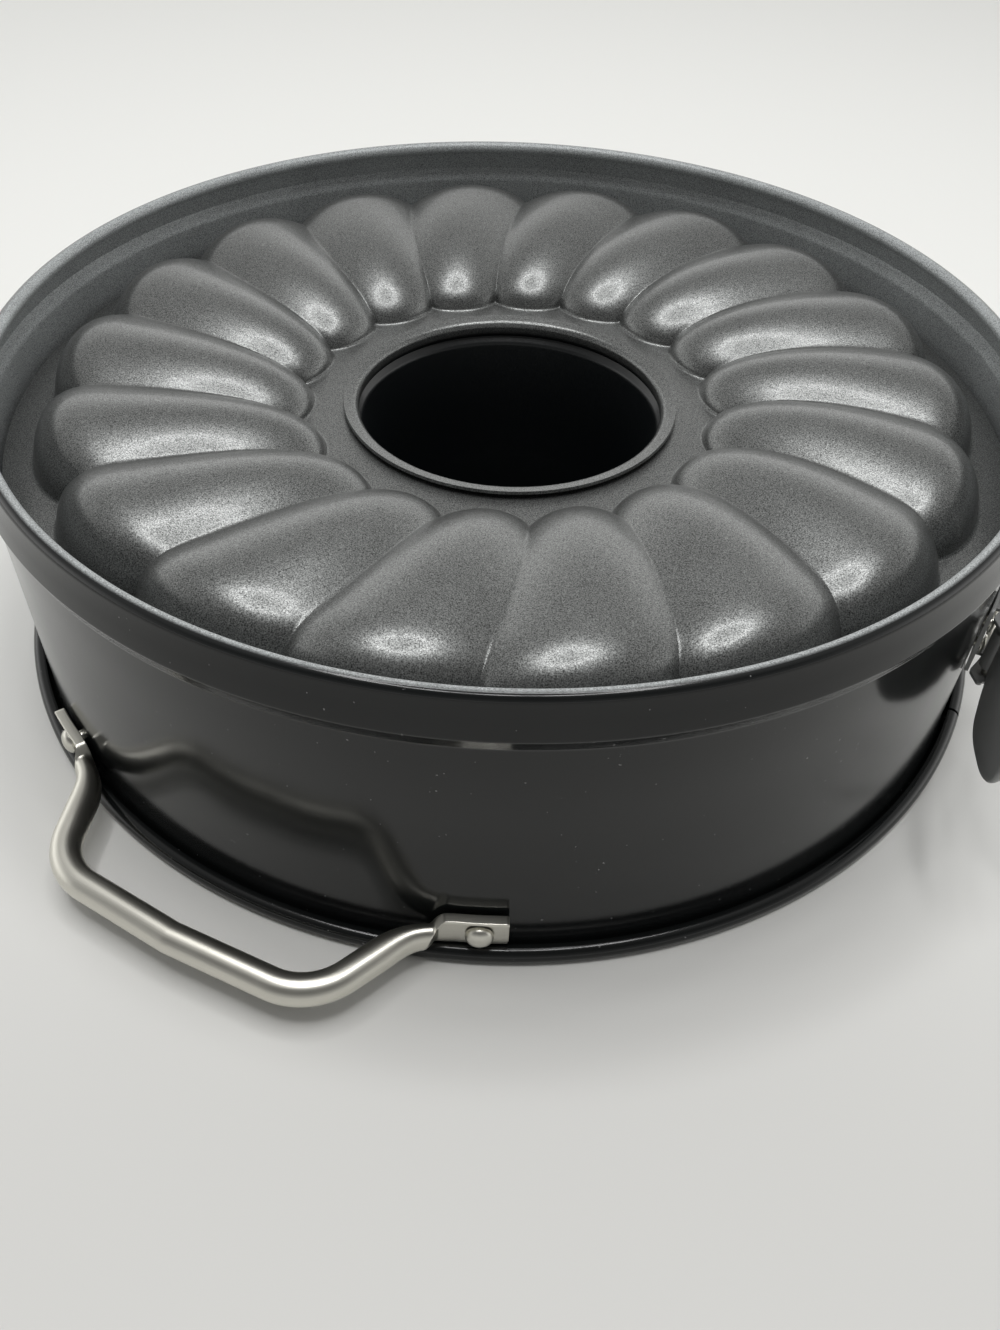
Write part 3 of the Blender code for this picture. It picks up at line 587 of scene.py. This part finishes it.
def carried(name, sections, closed_path=False, values=None):
    """Closed loops carried along a path and joined by quads; an open path's ends are laddered shut."""
    mesh = surface_mesh(name, sections, closed_path, True, values)
    if not closed_path:
        rows, columns = sections.shape[:2]
        step = np.arange(columns // 2 - 1)
        rungs = np.stack((step, step + 1, columns - 2 - step, columns - 1 - step), -1)
        ends = np.concatenate((rungs, rungs + (rows - 1) * columns))
        shape = bmesh.new()
        shape.from_mesh(mesh)
        shape.verts.ensure_lookup_table()
        for rung in ends.tolist():
            shape.faces.new([shape.verts[i] for i in rung])
        shape.to_mesh(mesh)
        shape.free()
    return mesh


def turned(profile, columns, matrix=None):
    """A profile of (radius, z) from the axis back to the axis, turned once round it, then placed."""
    direction = np.arange(columns) * 360.0 / columns
    places = polar(profile[:, None, 0], direction[None], profile[:, None, 1])
    return places if matrix is None else moved(places, matrix)


def turned_mesh(name, places, values=None):
    """The surface of a turned profile, closed once round."""
    return surface_mesh(name, places, wrap_columns=True, values=values)


def moved(places, matrix):
    """Points taken through a matrix."""
    matrix = np.array(matrix)
    return places @ matrix[:3, :3].T + matrix[:3, 3]


def closed_up(mesh):
    """Merges a mesh's poles and seams and turns its faces outward."""
    shape = bmesh.new()
    shape.from_mesh(mesh)
    bmesh.ops.remove_doubles(shape, verts=shape.verts, dist=WELD_DISTANCE)
    bmesh.ops.dissolve_degenerate(shape, edges=shape.edges, dist=SLIVER_LENGTH)
    bmesh.ops.recalc_face_normals(shape, faces=shape.faces)
    shape.to_mesh(mesh)
    shape.free()


def joined(name, meshes):
    """Several closed meshes as one."""
    shape = bmesh.new()
    for mesh in meshes:
        shape.from_mesh(mesh)
        bpy.data.meshes.remove(mesh)
    whole = bpy.data.meshes.new(name)
    shape.to_mesh(whole)
    shape.free()
    return whole


def add_piece(name, mesh, body, nodes, slot):
    """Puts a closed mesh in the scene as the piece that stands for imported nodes, in its slot's finish."""
    closed_up(mesh)
    mesh.materials.append(LOOKS[slot])
    mesh.shade_smooth()
    mesh.set_sharp_from_angle(angle=math.radians(SHARP_ANGLE))
    piece = bpy.data.objects.new(name, mesh)
    bpy.context.scene.collection.objects.link(piece)
    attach(piece, body)
    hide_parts(*nodes)


def band_middle():
    """The middle line of the band's sheet, from the rolled rim up to the bead."""
    bead_start = (BEAD_CENTRE[0] + BEAD_RADIUS, BEAD_CENTRE[1])
    roll = arc(RIM_ROLL_CENTRE, RIM_ROLL_RADIUS, *RIM_ROLL_TURN, steps=30)
    corners = [roll[-1], RIM_FLARE_FOOT, (WALL_RADIUS, RIM_FLARE_TOP), (WALL_RADIUS, GROOVE_FOOT_Z),
               GROOVE_RIDGE, bead_start]
    wall = rounded(corners, BAND_BENDS, steps=8)
    bead = arc(BEAD_CENTRE, BEAD_RADIUS, 0.0, BEAD_TURN, steps=26)
    return np.concatenate((roll[:-1], wall[:-1], bead))


def long_steps_split(profile, longest):
    """The same profile with points added on its long straight stretches."""
    pieces = [profile[:1]]
    for start, end in zip(profile, profile[1:]):
        count = max(1, math.ceil(np.linalg.norm(end - start) / longest))
        pieces.append(start + (end - start) * (np.arange(1, count + 1) / count)[:, None])
    return np.concatenate(pieces)


def make_band(name, start, body):
    """Half the band: the closed outline of its sheet carried round from one seam to the other.

    The inside coat covers the wall's inner face above the flare, and fades out over the bead; the light band
    it leaves along the bead's top is partly that coat and partly a painted highlight.
    """
    middle = long_steps_split(band_middle(), BAND_STEP)
    outline = with_thickness(middle, SHEET / 2.0)
    # painted highlight: the light coat reaches out over the bead's top, where the roll catches the light
    bead_coat_and_highlight = np.clip((BEAD_COAT_AND_HIGHLIGHT_RADIUS - outline[:len(middle), 0]) / BEAD_COAT_AND_HIGHLIGHT_FADE, 0.0, 1.0)
    on_wall = middle[::-1, 1] > RIM_FLARE_TOP
    inside = np.concatenate((bead_coat_and_highlight, on_wall))
    gaps = [SEAM_HALF_GAP, FAR_SEAM_HALF_GAP]
    if body == "front_half":
        gaps.reverse()
    direction = np.linspace(start + gaps[0], start + 180.0 - gaps[1], BAND_COLUMNS + 1)
    sections = polar(outline[None, :, 0], direction[:, None], outline[None, :, 1])
    add_piece(name, carried(name, sections, values=inside), body, [name], "band_coat")


def flute_rise(share):
    """Height along a flute from its inner end (0) to its outer end (1), as a share of its crest."""
    inward = np.clip((CREST_PEAK - share) / CREST_PEAK, 0.0, 1.0)
    outward = np.clip((share - CREST_PEAK) / (1.0 - CREST_PEAK), 0.0, 1.0)
    return power_fall(inward, CREST_INWARD) * power_fall(outward, CREST_OUTWARD)


def power_fall(share, powers):
    """Falls from 1 to 0 as a share goes from 0 to 1: (1 minus share to the first power) to the second."""
    return (1.0 - share ** powers[0]) ** powers[1]


def power_fall_undone(level, powers):
    """The share at which power_fall is at a level."""
    return (1.0 - level ** (1.0 / powers[1])) ** (1.0 / powers[0])


def insert_top(across):
    """Radius and height of the insert's upper face, for places across a flute (valleys at -1 and 1).

    Along a flute the height follows flute_rise. Across it the height is a parabola whose valley is rounded.
    At each end the wall runs into the flat ring there through a rounding that turns by FOOT_TURN.
    """
    depth = 1.0 - np.abs(across)
    eased = np.sqrt(depth ** 2 + VALLEY_SOFTNESS ** 2) - VALLEY_SOFTNESS
    eased = eased / (math.sqrt(1.0 + VALLEY_SOFTNESS ** 2) - VALLEY_SOFTNESS)
    bulge = 1.0 - (1.0 - eased) ** 2
    lobe = bulge ** LOBE_POWER
    inner = INNER_VALLEY_RADIUS - INNER_LOBE_REACH * lobe
    outer = OUTER_VALLEY_RADIUS + OUTER_LOBE_REACH * lobe
    height = VALLEY_HEIGHT + (CREST_HEIGHT - VALLEY_HEIGHT) * bulge

    turn = math.radians(FOOT_TURN)
    step = np.radians(np.linspace(0.0, FOOT_TURN, FOOT_ROWS))[:, None]
    foot_top = FOOT_ROUNDING * (1.0 - math.cos(turn))
    first = CREST_PEAK * (1.0 - power_fall_undone(foot_top / height, CREST_INWARD))
    last = CREST_PEAK + (1.0 - CREST_PEAK) * power_fall_undone(foot_top / height, CREST_OUTWARD)
    share = (1.0 - np.cos(np.pi * np.linspace(0.0, 1.0, FLUTE_ROWS)))[:, None] / 2.0
    share = first + (last - first) * share
    radius = inner + (outer - inner) * share
    rise = height * flute_rise(share)

    reach = FOOT_ROUNDING * (math.sin(turn) - np.sin(step))
    lift = FOOT_ROUNDING * (1.0 - np.cos(step)) + np.zeros_like(across)
    inner_foot = radius[0] - reach
    outer_foot = (radius[-1] + reach)[::-1]
    flat = np.zeros((FLANGE_ROWS, len(across)))
    seat_share = np.linspace(0.0, SEAT_END, FLANGE_ROWS)[:, None]
    flange_share = np.linspace(FLANGE_START, 1.0, FLANGE_ROWS)[:, None]
    seat = INSERT_HOLE_RADIUS + (inner_foot[0] - INSERT_HOLE_RADIUS) * seat_share
    flange = outer_foot[-1] + (INSERT_EDGE_RADIUS - outer_foot[-1]) * flange_share
    radii = np.concatenate((seat, inner_foot[:-1], radius, outer_foot[1:], flange))
    heights = np.concatenate((flat, lift[:-1], rise, lift[::-1][1:], flat))
    return radii, heights


def make_insert():
    """The stamped insert: the flute surface carried round the axis, with the valleys swirling inward."""
    column = np.arange(FLUTE_COUNT * FLUTE_COLUMNS)
    across = np.sin((column % FLUTE_COLUMNS / FLUTE_COLUMNS - 0.5) * math.pi)
    radius, height = insert_top(across)
    inward = (OUTER_VALLEY_RADIUS - radius) / (OUTER_VALLEY_RADIUS - INNER_VALLEY_RADIUS)
    flute = column // FLUTE_COLUMNS + (across + 1.0) / 2.0
    direction = VALLEY_DIRECTION + flute * 360.0 / FLUTE_COUNT + FLUTE_SWIRL * np.clip(inward, 0.0, 1.0)
    top = polar(radius, direction, INSERT_TOP_Z + height)
    along = np.gradient(top, axis=0)
    around = np.roll(top, -1, axis=1) - np.roll(top, 1, axis=1)
    normal = np.cross(along, around)
    normal /= np.linalg.norm(normal, axis=2, keepdims=True)
    under = top - SHEET * normal
    sections = np.concatenate((top, under[::-1]))
    mesh = surface_mesh("insert", sections, wrap_rows=True, wrap_columns=True)
    add_piece("insert", mesh, "insert_set", ["insert"], "insert_coat")


def make_centre_tube():
    """The tapered tube: its collar over the insert, a crimped bulge under it and its closed foot.

    The section runs from the axis up the outside to the collar, and back down the bore, which is coated.
    """
    rounding = (TUBE_FOOT_RADIUS - TUBE_FOOT_ROUNDING, TUBE_FOOT_ROUNDING + SHEET / 2.0)
    foot = arc(rounding, TUBE_FOOT_ROUNDING, 10.0, -90.0, steps=10)
    wall = rounded([COLLAR_EDGE, *COLLAR_CRIMP, TUBE_NECK, TUBE_TAPER, foot[0]], TUBE_BENDS, steps=6)
    floor = [(TUBE_FOOT_FLAT, SHEET / 2.0), (0.0, SHEET / 2.0)]
    middle = np.concatenate((wall[:-1], foot, floor))
    half = SHEET / 2.0 * right_side(middle)
    bore_side = middle + half
    outer_side = middle - half
    bore_side[-1, 0] = 0.0
    outer_side[-1, 0] = 0.0
    profile = np.concatenate((outer_side[::-1], bore_side))
    low, high = BORE_COAT_Z
    coated = np.clip((high - profile[:, 1]) / (high - low), 0.0, 1.0)
    coated[:len(outer_side)] = 0.0
    mesh = turned_mesh("centre_tube", turned(profile, TUBE_COLUMNS), coated[:, None])
    add_piece("centre_tube", mesh, "insert_set", ["centre_tube"], "insert_coat")


def along_radius(direction, z):
    """Turns Z to point outward from the pan's axis."""
    turn = Matrix.Rotation(math.radians(direction), 4, "Z") @ Matrix.Rotation(math.pi / 2.0, 4, "Y")
    return Matrix.Translation((0.0, 0.0, z)) @ turn


def make_rivet(name, direction, z, sizes, face, body):
    """A rivet through the wall: a flat inner head, a shank and an outer head with a round crown."""
    shank, outer, inner, rise = sizes
    inner_low, inner_high = RIVET_INNER_HEAD
    edge = RIVET_EDGE * rise
    angle = np.radians(np.linspace(90.0, 0.0, 14))
    crown = np.stack((outer * np.cos(angle), face + edge + (rise - edge) * np.sin(angle)), -1)
    under = np.array([(outer, face), (shank, face), (shank, inner_high), (inner, inner_high),
                      (inner, inner_low), (0.0, inner_low)])
    places = turned(np.concatenate((crown, under)), RIVET_COLUMNS, along_radius(direction, z))
    add_piece(name, turned_mesh(name, places), body, [name], "satin_steel")


def handle_half():
    """The tube's middle line in the handle's own frame, from the middle of the grip to where the ear starts.

    The grip and the leg are straight runs with round bends.
    """
    middle = (HANDLE_GRIP[0] + HANDLE_BOW, 0.0)
    knee = polar(*HANDLE_KNEE, 0.0)[:2]
    joint = polar(*HANDLE_JOINT, 0.0)[:2]
    return rounded([middle, HANDLE_GRIP, knee, joint], HANDLE_BEND_RADIUS, steps=14)


def handle_inner_line():
    """The line along the handle's inner side in its own frame, from one ear's end to the other's.

    It is the tube's inner side, and from the joint on it settles onto the ear's inner radius.
    """
    tube = spaced(handle_half(), HANDLE_ROWS)
    inner = tube - right_side(tube) * HANDLE_TUBE_RADIUS
    start = math.degrees(math.atan2(inner[-1, 1], inner[-1, 0]))
    share = np.linspace(0.02, 1.0, EAR_ROWS)
    unsettled = np.clip(1.0 - share / EAR_SETTLE, 0.0, 1.0)
    reach = EAR_INNER_RADIUS + (np.linalg.norm(inner[-1]) - EAR_INNER_RADIUS) * unsettled
    ear = polar(reach, start + (EAR_ANGLES[1] - start) * share, 0.0)[:, :2]
    half = np.concatenate((inner, ear))
    return np.concatenate((half[::-1] * (1.0, -1.0), half[1:]))


def make_handle(side):
    """A tube whose round section flattens into an ear with a lip along its top, at each end.

    Every section is placed from its inner side, which runs on from the tube to the ear. How flat a point is
    goes by its angle round the pan and its height: the crease starts low and ends at the top of the ear.
    """
    name = f"{side}_handle"
    inner = handle_inner_line()
    across = right_side(inner)
    place = np.abs(np.degrees(np.arctan2(inner[:, 1], inner[:, 0])))[:, None]

    angle = section_angles()[None]
    crease = EAR_CREASE[0] + (EAR_CREASE[1] - EAR_CREASE[0]) * (np.sin(angle) + 1.0) / 2.0
    flat = gentle((place - crease) / EAR_CREASE_LENGTH)
    power = 2.0 / (2.0 + EAR_SQUARENESS * flat)
    outward = np.sign(np.cos(angle)) * np.abs(np.cos(angle)) ** power
    upward = np.sign(np.sin(angle)) * np.abs(np.sin(angle)) ** power
    pressed = gentle((place - EAR_PRESSED[0]) / (EAR_PRESSED[1] - EAR_PRESSED[0]))
    tube_half = HANDLE_TUBE_RADIUS * (1.0 - EAR_PRESSED_SHARE * pressed)
    half_thickness = tube_half + (EAR_HALF_THICKNESS - tube_half) * flat
    ear_half = (EAR_Z[1] - EAR_Z[0]) / 2.0
    half_height = HANDLE_TUBE_RADIUS + (ear_half - HANDLE_TUBE_RADIUS) * flat
    centre_z = HANDLE_Z + ((EAR_Z[0] + EAR_Z[1]) / 2.0 - HANDLE_Z) * flat

    end_distance = np.radians(EAR_ANGLES[1] - place) * EAR_INNER_RADIUS
    corner = np.where(upward > 0.0, EAR_CORNERS[0], EAR_CORNERS[1])
    inset = np.clip(corner - end_distance, 0.0, corner)
    half_height = half_height - (corner - np.sqrt(np.clip(corner ** 2 - inset ** 2, 0.0, None)))
    lip_share = np.clip((upward - EAR_LIP_BAND[0]) / EAR_LIP_BAND[1], 0.0, 1.0)
    lip = lip_share * np.clip(outward * 2.0, 0.0, 1.0) * EAR_LIP * flat
    offset = half_thickness * (1.0 + outward) + lip
    plan = inner[:, None, :] + across[:, None, :] * offset[..., None]
    sections = np.concatenate((plan, (centre_z + half_height * upward)[..., None]), -1)
    turn = Matrix.Rotation(math.radians(HANDLE_DIRECTIONS[side]), 4, "Z")
    add_piece(name, carried(name, moved(sections, turn)), f"{side}_half", [name], "satin_steel")


def edge_rounded(outline, middle, low, high):
    """A flat outline given a height, with its upper and lower edges rounded, as loops along Z."""
    angle = np.radians(np.linspace(0.0, 90.0, 5))
    inset = CUT_EDGE * (1.0 - np.cos(angle))
    lift = CUT_EDGE * (1.0 - np.sin(angle))
    insets = np.concatenate((inset[::-1], inset))
    heights = np.concatenate((low + lift[::-1], high - lift))
    spokes = outline - np.array(middle)
    shrink = 1.0 - insets[:, None] / np.linalg.norm(spokes, axis=1)
    plan = np.array(middle) + spokes * shrink[..., None]
    z = np.broadcast_to(heights[:, None, None], plan.shape[:2] + (1,))
    return np.concatenate((plan, z), -1)


def wall_plate(name, angles, half_height, radius, half_thickness, corner):
    """A plate that follows the wall: a rounded bar's section carried round, its height eased at the ends."""
    span = (1.0 - np.cos(np.pi * np.linspace(0.0, 1.0, PLATE_ROWS))) / 2.0
    direction = SEAM_DIRECTION + angles[0] + (angles[1] - angles[0]) * span
    length = math.radians(angles[1] - angles[0]) * radius
    from_end = np.minimum(span, 1.0 - span) * length
    inset = np.clip(corner - from_end, 0.0, corner)
    height = half_height - (corner - np.sqrt(np.clip(corner ** 2 - inset ** 2, 0.0, None)))
    edge = PLATE_EDGE * half_thickness
    upper_corners = [(-half_thickness, 0.0), (-half_thickness, 1.0), (half_thickness, 1.0),
                     (half_thickness, 0.0)]
    bar = rounded(upper_corners, edge, steps=3)
    side = np.concatenate((bar[:, 0], bar[::-1, 0]))
    top = height[:, None] + np.clip(bar[:, 1] - 1.0, -edge, 0.0)
    top[:, [0, -1]] = 0.0
    z = np.concatenate((top, -top[:, ::-1]), 1)
    keep = np.r_[0:len(bar), len(bar) + 1:2 * len(bar) - 1]
    return carried(name, polar(radius + side[None, keep], direction[:, None], LATCH_Z + z[:, keep]))


def latch_plate(name, angles):
    """One of the latch's two plates on the wall's outer face."""
    half = PLATE_THICKNESS / 2.0
    return wall_plate(name, angles, PLATE_HALF_HEIGHT, PLATE_INNER_RADIUS + half, half, PLATE_CORNER)


def latch_matrix(place=(0.0, 0.0)):
    """The latch's own frame in the world, moved to a place in it."""
    turn = Matrix.Rotation(math.radians(SEAM_DIRECTION), 4, "Z")
    return turn @ Matrix.Translation((place[0], place[1], LATCH_Z))


def twin_plates(name, outline, middle, heights):
    """A flat cut piece at the pivot, once above and once below the latch's middle."""
    plates = []
    for sign in (-1.0, 1.0):
        low, high = sorted(sign * z for z in heights)
        loops = edge_rounded(even(outline), middle, low, high)
        plates.append(carried(name, moved(loops, latch_matrix(PIVOT))))
    return plates


def eye_place():
    """Where the bail's wire goes through the lever, in the latch's own frame."""
    arm = math.radians(BAIL_ARM_ANGLE)
    return (PIVOT[0] + BAIL_ARM * math.cos(arm), PIVOT[1] + BAIL_ARM * math.sin(arm))


def capped_profile(radius, half, rounding):
    """The section of a short round bar, from its top's middle round to its bottom's middle."""
    top = arc((radius - rounding, half - rounding), rounding, 90.0, 0.0, steps=4)
    return np.concatenate(([(0.0, half)], top, top[::-1] * (1.0, -1.0), [(0.0, -half)]))


def make_latch_base():
    """The plate that carries the lever, with two flanges that hold its pin."""
    nose = arc((0.0, 0.0), FLANGE_RADIUS, 90.0, -90.0, steps=20)
    outline = long_steps_split(np.concatenate((FLANGE_ROOT[1:], nose, FLANGE_ROOT[:1])), longest=0.001)
    parts = [latch_plate("latch_base", BASE_PLATE_ANGLES)]
    parts += twin_plates("flange", outline, FLANGE_MIDDLE, FLANGE_Z)
    add_piece("latch_base", joined("latch_base", parts), "front_half", ["latch_base"], "latch_coat")


def make_lever_pin():
    """The pin through the flanges, with a low round head at each end."""
    inner = EAR_PLATE_Z[1] + SMALL_GAP
    outer = inner + PIN_HEAD_HEIGHT
    edge = (PIN_HEAD_RADIUS - PIN_HEAD_ROUNDING, outer - PIN_HEAD_ROUNDING)
    head = arc(edge, PIN_HEAD_ROUNDING, 90.0, 0.0, steps=4)
    top = np.concatenate(([(0.0, outer)], head, [(PIN_HEAD_RADIUS, inner), (PIVOT_PIN_RADIUS, inner)]))
    profile = np.concatenate((top, top[::-1] * (1.0, -1.0)))
    places = turned(profile, PIN_COLUMNS, latch_matrix(PIVOT))
    add_piece("lever_pin", turned_mesh("lever_pin", places), "front_half", ["lever_pin"], "satin_steel")


def lever_flare(x):
    """How far the lever stands outward at a distance from its pivot: an arc, then a straight run."""
    start, end = LEVER_FLARE
    curved = np.clip(x - start, 0.0, end - start)
    straight = np.clip(x - end, 0.0, None)
    return curved ** 2 / (2.0 * LEVER_FLARE_RADIUS) + straight * (end - start) / LEVER_FLARE_RADIUS


def lever_paddle():
    """An oblong section carried from the neck, whose height widens to the paddle.

    The paddle ends in half a circle, and its thickness is eased to nothing over the last of it, so that the
    whole edge is round.
    """
    share = np.linspace(0.0, 1.0, LEVER_ROWS)
    x = LEVER_START + (LEVER_LENGTH - LEVER_START) * (1.0 - (1.0 - share) ** LEVER_CROWDING)
    widen = gentle((x - LEVER_WIDENS[0]) / (LEVER_WIDENS[1] - LEVER_WIDENS[0]))
    half = LEVER_NECK_HALF + (LEVER_PADDLE_HALF - LEVER_NECK_HALF) * widen
    past = np.clip((x - (LEVER_LENGTH - LEVER_PADDLE_HALF)) / LEVER_PADDLE_HALF, 0.0, 1.0)
    half = (half * np.sqrt(1.0 - past ** 2))[:, None]
    from_tip = np.clip((LEVER_LENGTH - x) / LEVER_HALF_THICKNESS, 0.0, 1.0)
    thick = LEVER_HALF_THICKNESS * np.sqrt(np.clip(1.0 - (1.0 - from_tip) ** 2, 0.0, 1.0))[:, None]
    angle = section_angles()[None]
    edge = np.minimum(LEVER_EDGE * thick, half)
    side = np.clip(np.cos(angle) * LEVER_FLAT, -1.0, 1.0) * thick
    side_share = side / np.maximum(thick, 1e-9)
    fall = edge * (1.0 - np.sqrt(np.clip(1.0 - side_share ** 2, 0.0, 1.0)))
    up = np.sin(angle) * half
    up = np.sign(up) * np.minimum(np.abs(up), np.maximum(half - fall, 0.0))
    stand = Matrix.Rotation(math.radians(LEVER_ANGLE), 4, "Z")
    x = x[:, None]
    places = np.stack((np.broadcast_to(x, side.shape), side + lever_flare(x), up), -1)
    return carried("paddle", moved(places, latch_matrix(PIVOT) @ stand))


def make_lever():
    """The lever: its paddle, two ears on the pin and the barrel that is the eye for the bail."""
    root = arc((0.0, 0.0), EAR_PLATE_RADIUS, 180.0, 0.0, steps=20)
    tip = arc(EAR_PLATE_TIP, EAR_PLATE_TIP_RADIUS, -5.0, -130.0, steps=8)
    outline = np.concatenate((root, EAR_PLATE_OUTER, tip, EAR_PLATE_INNER, root[:1]))
    outline = long_steps_split(outline, longest=0.0008)[:-1]
    eye = turned(capped_profile(*LEVER_EYE, LEVER_EYE_ROUNDING), LEVER_EYE_COLUMNS, latch_matrix(eye_place()))
    parts = [lever_paddle()]
    parts += twin_plates("ear", outline, EAR_PLATE_MIDDLE, EAR_PLATE_Z)
    parts.append(turned_mesh("eye", eye))
    add_piece("latch_lever", joined("latch_lever", parts), "lever", ["latch_lever"], "latch_coat")


def make_bail():
    """The wire loop: a round section carried round a rounded oblong."""
    near = np.array(eye_place())
    far = np.array(BAIL_SEAT)
    middle = (near + far) / 2.0
    up = BAIL_HALF_WIDTH
    corners = [(*middle, up), (*far, up), (*far, -up), (*near, -up), (*near, up), (*middle, up)]
    line = spaced(rounded(corners, BAIL_CORNER_RADIUS, steps=10), BAIL_ROWS + 1)[:-1]
    run = np.roll(line, -1, axis=0) - np.roll(line, 1, axis=0)
    run /= np.linalg.norm(run, axis=1, keepdims=True)
    flat = np.append((near - far) / np.linalg.norm(near - far), 0.0)
    across = np.cross(flat, (0.0, 0.0, 1.0))
    other = np.cross(run, across)
    angle = np.radians(np.arange(BAIL_COLUMNS) * 360.0 / BAIL_COLUMNS)[None, :, None]
    loops = line[:, None] + BAIL_WIRE_RADIUS * (np.cos(angle) * across + np.sin(angle) * other[:, None])
    mesh = carried("bail", moved(loops, latch_matrix()), closed_path=True)
    add_piece("bail", mesh, "bail", ["bail"], "satin_steel")


def make_catch():
    """The plate with the upright hook behind which the bail lies."""
    back = BAIL_SEAT[1] - BAIL_WIRE_RADIUS - HOOK_GAP
    low, high = PLATE_INNER_RADIUS + HOOK_CLEAR, HOOK_TOP
    corners = [(low, 0.0), (low, HOOK_HALF_WIDTH), (high, HOOK_HALF_WIDTH), (high, -HOOK_HALF_WIDTH),
               (low, -HOOK_HALF_WIDTH), (low, 0.0)]
    outline = even(rounded(corners, HOOK_BENDS, steps=6)[:-1])
    lying = edge_rounded(outline, ((low + high) / 2.0, 0.0), back - HOOK_THICKNESS, back)
    upright = lying[..., [0, 2, 1]]
    parts = [latch_plate("catch_plate", CATCH_PLATE_ANGLES)]
    parts.append(carried("hook", moved(upright, latch_matrix())))
    add_piece("catch_plate", joined("catch_plate", parts), "back_half", ["catch_plate"], "latch_coat")


def make_tongue():
    """The strip inside the seam, which follows the band's inner face."""
    half = (TONGUE_Z[1] - TONGUE_Z[0]) / 2.0
    mesh = wall_plate("seam_tongue", TONGUE_ANGLES, half, TONGUE_RADIUS, TONGUE_HALF_THICKNESS,
                      TONGUE_CORNER)
    shift = (TONGUE_Z[0] + TONGUE_Z[1]) / 2.0 - LATCH_Z
    mesh.transform(Matrix.Translation((0.0, 0.0, shift)))
    values = mesh.attributes.new("inside", "FLOAT", "POINT")
    values.data.foreach_set("value", np.ones(len(mesh.vertices), np.float32))
    add_piece("seam_tongue", mesh, "back_half", ["seam_tongue"], "band_coat")


def make_rivets():
    """The eight rivets: two for each handle and two for each latch plate."""
    ear_face = EAR_INNER_RADIUS + 2.0 * EAR_HALF_THICKNESS + SMALL_GAP
    for side, direction in HANDLE_DIRECTIONS.items():
        for sign, word in ((-1.0, "left"), (1.0, "right")):
            name = f"{side}_handle_{word}_rivet"
            place = direction + sign * EAR_RIVET_ANGLE
            make_rivet(name, place, HANDLE_Z, HANDLE_RIVET, ear_face, f"{side}_half")
    plate_face = PLATE_INNER_RADIUS + PLATE_THICKNESS + SMALL_GAP
    plates = (("latch_base", BASE_RIVET_ANGLE, BASE_RIVET_OFFSET, "front_half"),
              ("catch_plate", CATCH_RIVET_ANGLE, CATCH_RIVET_OFFSET, "back_half"))
    for plate, angle, offset, body in plates:
        for sign, word in ((-1.0, "lower"), (1.0, "upper")):
            name = f"{plate}_{word}_rivet"
            z = LATCH_Z + sign * offset
            make_rivet(name, SEAM_DIRECTION + angle, z, LATCH_RIVET, plate_face, body)


def make_floor():
    """A plain pale table top."""
    half = FLOOR_SIZE / 2.0
    edge = np.linspace(-half, half, 3)
    x, y = np.meshgrid(edge, edge)
    mesh = surface_mesh("table", np.stack((x, y, np.zeros_like(x)), -1))
    mesh.materials.append(make_floor_paint())
    floor = bpy.data.objects.new("table", mesh)
    bpy.context.scene.collection.objects.link(floor)


def light_the_room():
    """A ring of soft lamps overhead, in a pale room that is dimmer overhead and toward the viewer."""
    world = bpy.data.worlds.new("studio")
    bpy.context.scene.world = world
    paint = Paint(world)
    toward = paint.out("ShaderNodeTexCoord", output="Generated")
    parts = paint.node("ShaderNodeSeparateXYZ", None, {0: toward})
    y, z = (Number(paint, parts.outputs[axis]) for axis in (1, 2))
    overhead = paint.ramp(z, *OVERHEAD_RISE)
    viewer = paint.ramp(y * -1.0, *VIEWER_RISE) * paint.ramp(z, *VIEWER_FLOOR)
    level = (ROOM_LEVEL - OVERHEAD_LOSS * overhead) * (1.0 - VIEWER_LOSS * viewer)
    colour = paint.out("ShaderNodeCombineXYZ", None, {0: level, 1: level, 2: level * ROOM_BLUE})
    background = paint.out("ShaderNodeBackground", None, {"Color": colour, "Strength": 1.0})
    paint.node("ShaderNodeOutputWorld", None, {"Surface": background})

    for number in range(RING_LAMPS):
        angle = 2.0 * math.pi * number / RING_LAMPS
        lamp = bpy.data.lights.new(f"ring_lamp_{number:02d}", "AREA")
        lamp.shape = "DISK"
        lamp.size = RING_LAMP_SIZE
        lamp.energy = RING_LAMP_POWER
        holder = bpy.data.objects.new(lamp.name, lamp)
        bpy.context.scene.collection.objects.link(holder)
        holder.location = (RING_RADIUS * math.cos(angle), RING_RADIUS * math.sin(angle), RING_HEIGHT)


def place_camera():
    """The camera at the photograph's place, pitch and roll."""
    camera = bpy.data.cameras.new("camera")
    camera.lens = CAMERA_LENS
    camera.sensor_width = CAMERA_SENSOR
    camera.sensor_height = CAMERA_SENSOR
    camera.clip_start = 0.01
    holder = bpy.data.objects.new("camera", camera)
    bpy.context.scene.collection.objects.link(holder)
    pitch = Matrix.Rotation(math.radians(90.0 - CAMERA_PITCH), 4, "X")
    roll = Matrix.Rotation(math.radians(CAMERA_ROLL), 4, "Z")
    holder.matrix_world = Matrix.Translation(CAMERA_PLACE) @ pitch @ roll
    bpy.context.scene.camera = holder


def main():
    """Makes the materials, the pieces, the room and the camera."""
    LOOKS["band_coat"] = make_band_coat()
    LOOKS["insert_coat"] = make_insert_coat()
    LOOKS["latch_coat"] = make_latch_coat()
    LOOKS["satin_steel"] = make_satin_steel()
    make_band("band_front", SEAM_DIRECTION - 180.0, "front_half")
    make_band("band_back", SEAM_DIRECTION, "back_half")
    make_insert()
    make_centre_tube()
    for side in HANDLE_DIRECTIONS:
        make_handle(side)
    make_rivets()
    make_latch_base()
    make_lever_pin()
    make_lever()
    make_bail()
    make_catch()
    make_tongue()
    make_floor()
    light_the_room()
    place_camera()
    bpy.context.scene.view_settings.view_transform = "Standard"


main()
